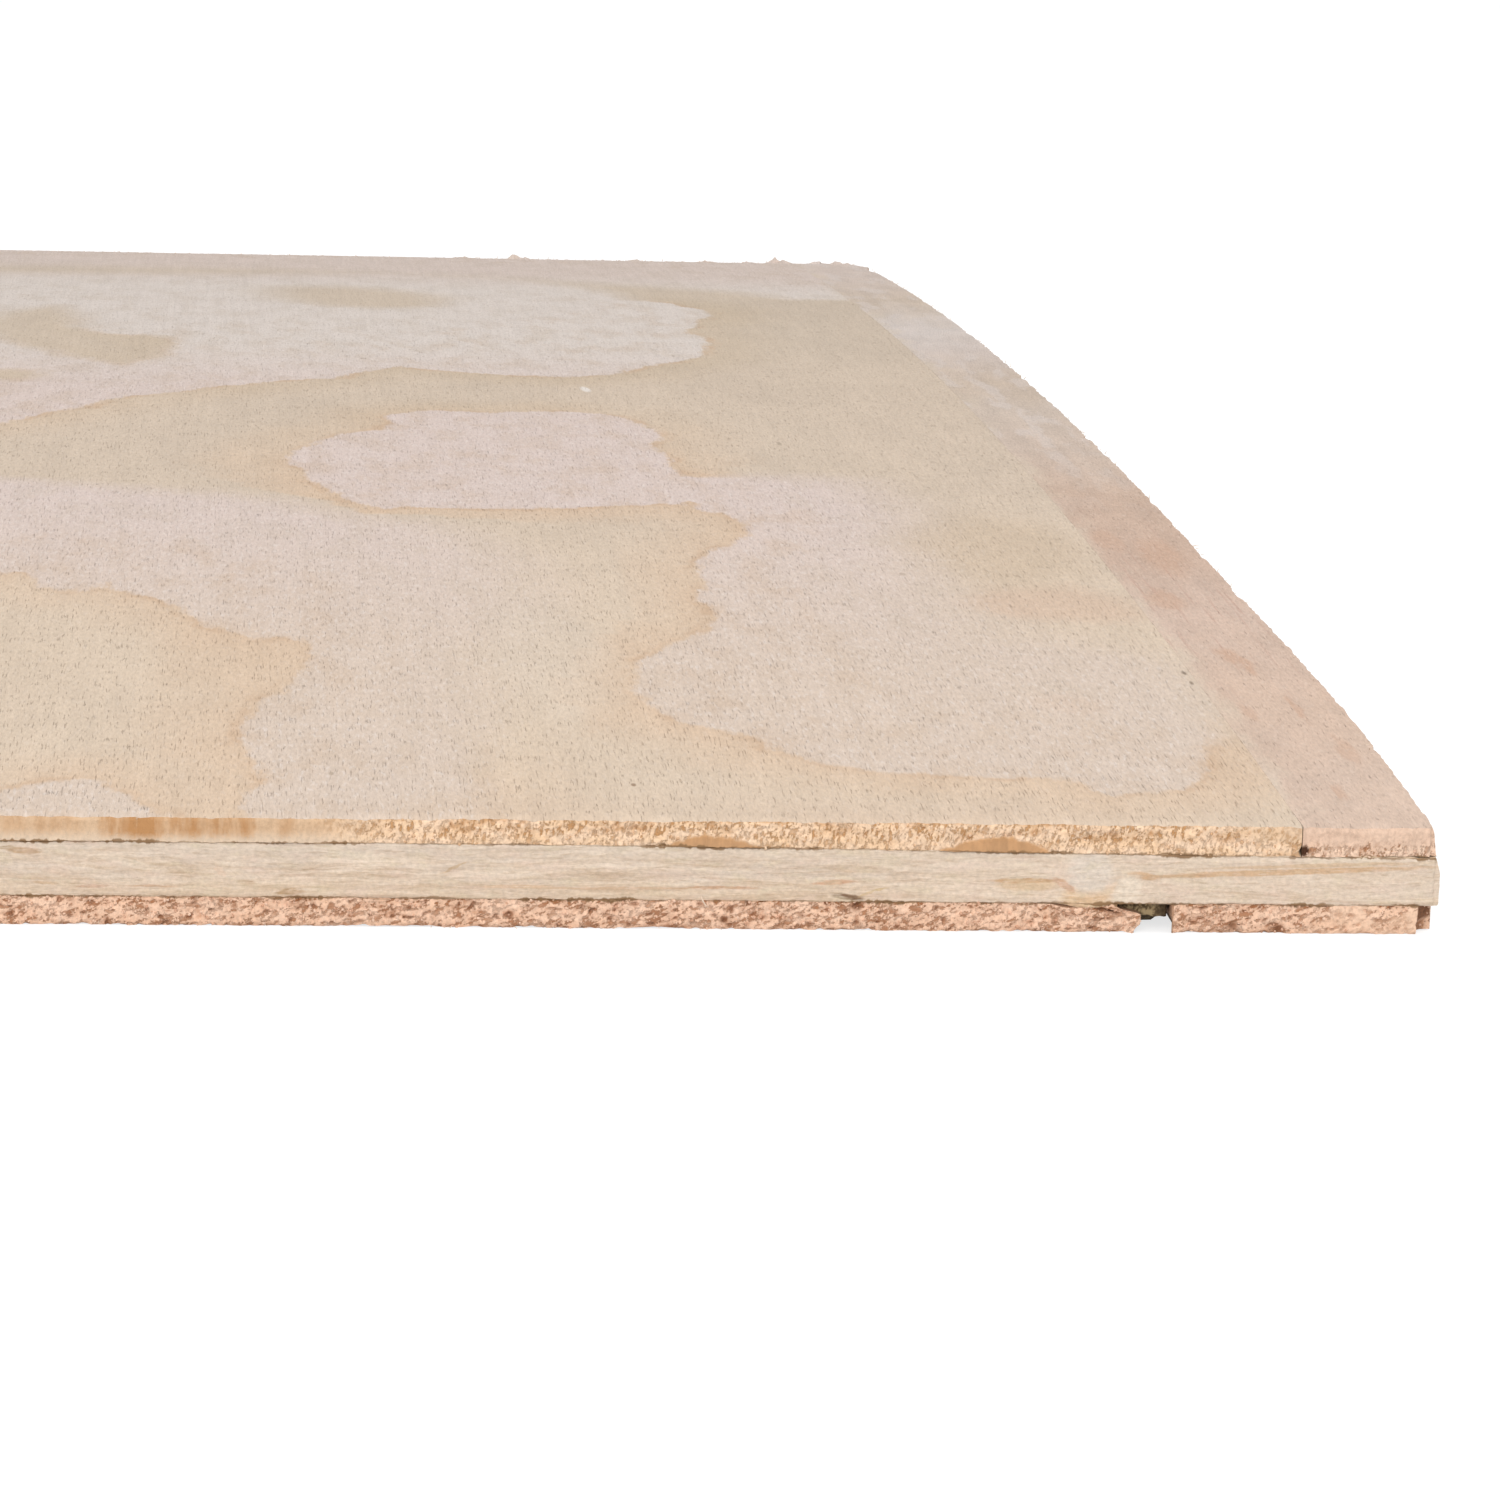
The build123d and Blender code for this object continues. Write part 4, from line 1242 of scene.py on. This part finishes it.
def splinter_row():
    """A tree that stands splinters along a path, each turned and sized by chance."""
    inputs = {"Path": "Geometry", "Spacing": "Float", "Length": "Float", "Wood": "Material", "Seed": "Int"}
    tree, given = scatter_tree("splinter_row", inputs, "Splinters")
    line = result_of(tree, "GeometryNodeMeshToCurve", {"Mesh": given["Path"]})
    inputs = {"Curve": line, "Length": given["Spacing"]}
    points = result_of(tree, "GeometryNodeCurveToPoints", inputs, "Points", mode="LENGTH")
    inputs = {"Probability": SPLINTERS_KEPT, "Seed": 2}
    kept = result_of(tree, "FunctionNodeRandomValue", inputs, 3, data_type="BOOLEAN")
    inputs = {"Vertices": 4, "Radius Top": 0.0, "Radius Bottom": 0.07, "Depth": 1.0}
    sliver = result_of(tree, "GeometryNodeMeshCone", inputs, "Mesh")
    turn = any_turn(tree, given["Seed"])
    inputs = {0: by_chance(tree, 0.25, 1.0, 7), 1: given["Length"]}
    scale = result_of(tree, "ShaderNodeMath", inputs, operation="MULTIPLY")
    inputs = {"Points": points, "Selection": kept, "Instance": sliver, "Rotation": turn, "Scale": scale}
    placed = result_of(tree, "GeometryNodeInstanceOnPoints", inputs)
    return given_out(tree, placed, given["Wood"], "Splinters")


def arris_path(name, x, along, radius):
    """A line of points along an arris of the bowed sheet."""
    places = bowed(x, along, radius).reshape(-1, 3)
    mesh = bpy.data.meshes.new(name)
    mesh.from_pydata(places.tolist(), [(i, i + 1) for i in range(len(places) - 1)], [])
    return mesh


splinters_of = splinter_row()
splinter_wood = crumb_wood("splinter_wood", (0.72, 0.58, 0.46), (0.66, 0.51, 0.385))
across_sheet = np.linspace(-core_high.x + 0.5 * MM, strip_high.x - 1.0 * MM, 400)
across_lower = across_sheet[across_sheet < LOWER_END_X]
across_fringe = np.linspace(256.0, 298.0, 90) * MM
along_sheet = np.linspace(-half_depth + 2 * MM, half_depth - 12 * MM, 200)
front_line, back_line = -half_depth + SPLINTER_INSET, half_depth - SPLINTER_INSET
right_line = strip_high.x - SPLINTER_INSET
for name, x, along, radius, spacing, slot, seed in (
    ("front_splinters", across_sheet, front_line, top_radius, 0.9 * MM, "face_wood", 11),
    ("back_splinters", across_sheet, back_line, top_radius, 0.9 * MM, "face_wood", 12),
    ("right_splinters", right_line, along_sheet, top_radius, 1.1 * MM, "face_strip_wood", 13),
    ("lower_splinters", across_lower, front_line, underside_radius + LOWER_LIFT, 1.1 * MM, "back_wood", 14),
    ("back_fringe", across_fringe, back_line, top_radius, 0.25 * MM, "face_wood", 19),
):
    settings = {"Spacing": spacing, "Length": SPLINTER_LENGTH, "Wood": splinter_wood, "Seed": seed}
    splinters = grown(name, arris_path(name + "_path", x, along, radius), splinters_of, settings)
    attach(splinters, "root")

# The hair's run: across the sheet, in from the front edge and up the sheet, and its radius there.
HAIR_RUN = [
    (260.2, 0.1, 1.85, 0.05), (260.25, -0.12, 1.75, 0.05), (260.33, -0.22, 1.6, 0.045),
    (260.45, -0.25, 1.42, 0.035), (260.62, -0.2, 1.28, 0.006),
]
HAIR_SIDES = 5
hair_places, hair_faces = [], []
for x, inward, height, radius in HAIR_RUN:
    middle = bowed(x * MM, -half_depth + inward * MM, underside_radius + height * MM)
    for turn in range(HAIR_SIDES):
        angle = turn / HAIR_SIDES * 2 * math.pi
        outward = np.array((math.cos(angle), math.sin(angle), 0.0))
        hair_places.append(tuple(middle + outward * radius * MM))
for low in range(0, len(hair_places) - HAIR_SIDES, HAIR_SIDES):
    high = low + HAIR_SIDES
    for turn in range(HAIR_SIDES):
        ahead = (turn + 1) % HAIR_SIDES
        hair_faces.append((low + ahead, low + turn, high + turn, high + ahead))
hair_faces.append(tuple(range(HAIR_SIDES)))
hair_faces.append(tuple(len(hair_places) - 1 - turn for turn in range(HAIR_SIDES)))
hair_mesh = bpy.data.meshes.new("core_hair")
hair_mesh.from_pydata(hair_places, [], hair_faces)
hair_mesh.materials.append(splinter_wood)
core_hair = set_out("core_hair", hair_mesh)
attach(core_hair, "root")

# The floor is a plain white sweep, far wider than the sheet, painted matt. It is lit up to white where it is
# seen, and still shows the sheet's soft shadow.
FLOOR_REACH = 12.0
PAINT_GREY = 0.8
SEEN_GREY = 0.36
SEEN_GLOW = 0.74
floor_mesh = bpy.data.meshes.new("floor")
floor_corners = [(x * FLOOR_REACH, y * FLOOR_REACH, 0) for x, y in ((-1, -1), (1, -1), (1, 1), (-1, 1))]
floor_mesh.from_pydata(floor_corners, [], [(0, 1, 2, 3)])
floor = set_out("floor", floor_mesh)
floor_white = bpy.data.materials.new("floor_white")
floor_white.use_nodes = True
floor_tree = floor_white.node_tree
floor_tree.nodes.clear()
rays = node(floor_tree, "ShaderNodeLightPath").outputs
seen = rays["Is Camera Ray"]
for ray in ("Is Glossy Ray", "Is Transmission Ray"):
    seen = result_of(floor_tree, "ShaderNodeMath", {0: seen, 1: rays[ray]}, operation="MAXIMUM")
paint = result_of(floor_tree, "ShaderNodeBsdfDiffuse", {"Color": (PAINT_GREY, PAINT_GREY, PAINT_GREY, 1.0)})
shaded = result_of(floor_tree, "ShaderNodeBsdfDiffuse", {"Color": (SEEN_GREY, SEEN_GREY, SEEN_GREY, 1.0)})
glow = result_of(floor_tree, "ShaderNodeEmission", {"Color": (1.0, 1.0, 1.0, 1.0), "Strength": SEEN_GLOW})
white = result_of(floor_tree, "ShaderNodeAddShader", {0: shaded, 1: glow})
surface = result_of(floor_tree, "ShaderNodeMixShader", {0: seen, 1: paint, 2: white})
node(floor_tree, "ShaderNodeOutputMaterial", {"Surface": surface})
floor_mesh.materials.append(floor_white)

# The studio is an even white surround with two square soft lamps: a large one overhead, and a smaller, weaker
# one behind the camera and above it.
SURROUND_STRENGTH = 0.5
world = bpy.data.worlds.new("studio")
bpy.context.scene.world = world
world.use_nodes = True
surround = world.node_tree.nodes["Background"]
surround.inputs["Color"].default_value = (1.0, 1.0, 1.0, 1.0)
surround.inputs["Strength"].default_value = SURROUND_STRENGTH


def soft_lamp(name, place, target, size, power):
    """A square soft lamp at a place, turned to face a target."""
    lamp = bpy.data.lights.new(name, "AREA")
    lamp.shape = "SQUARE"
    lamp.size = size
    lamp.energy = power
    lamp_object = set_out(name, lamp)
    lamp_object.location = place
    lamp_object.rotation_euler = (Vector(target) - Vector(place)).to_track_quat("-Z", "Y").to_euler()


soft_lamp("overhead_lamp", place=(0.7, -0.4, 1.7), target=(0.2, -0.1, 0.0), size=1.2, power=14.0)
soft_lamp("front_lamp", place=(0.0, -1.4, 0.75), target=(0.25, -0.15, 0.0), size=0.7, power=11.0)

# The camera stands low in front of the sheet's right-hand corner, turned a little right, tilted down and
# rolled a touch, with a long lens.
FOCAL_LENGTH_PX = 5865.0
PICTURE_PX = 1500.0
SENSOR_WIDTH_MM = 36.0
CAMERA_PLACE = (235.4 * MM, -455.2 * MM, 66.06 * MM)
CAMERA_TURN, CAMERA_TILT, CAMERA_ROLL = -5.094, 10.394, 1.499
lens = bpy.data.cameras.new("camera")
lens.sensor_width = SENSOR_WIDTH_MM
lens.lens = SENSOR_WIDTH_MM * FOCAL_LENGTH_PX / PICTURE_PX
camera = set_out("camera", lens)
camera.matrix_world = (
    Matrix.Translation(CAMERA_PLACE)
    @ Matrix.Rotation(math.radians(CAMERA_TURN), 4, "Z")
    @ Matrix.Rotation(math.radians(90 - CAMERA_TILT), 4, "X")
    @ Matrix.Rotation(math.radians(CAMERA_ROLL), 4, "Z")
)
bpy.context.scene.camera = camera
bpy.context.scene.view_settings.view_transform = "Standard"
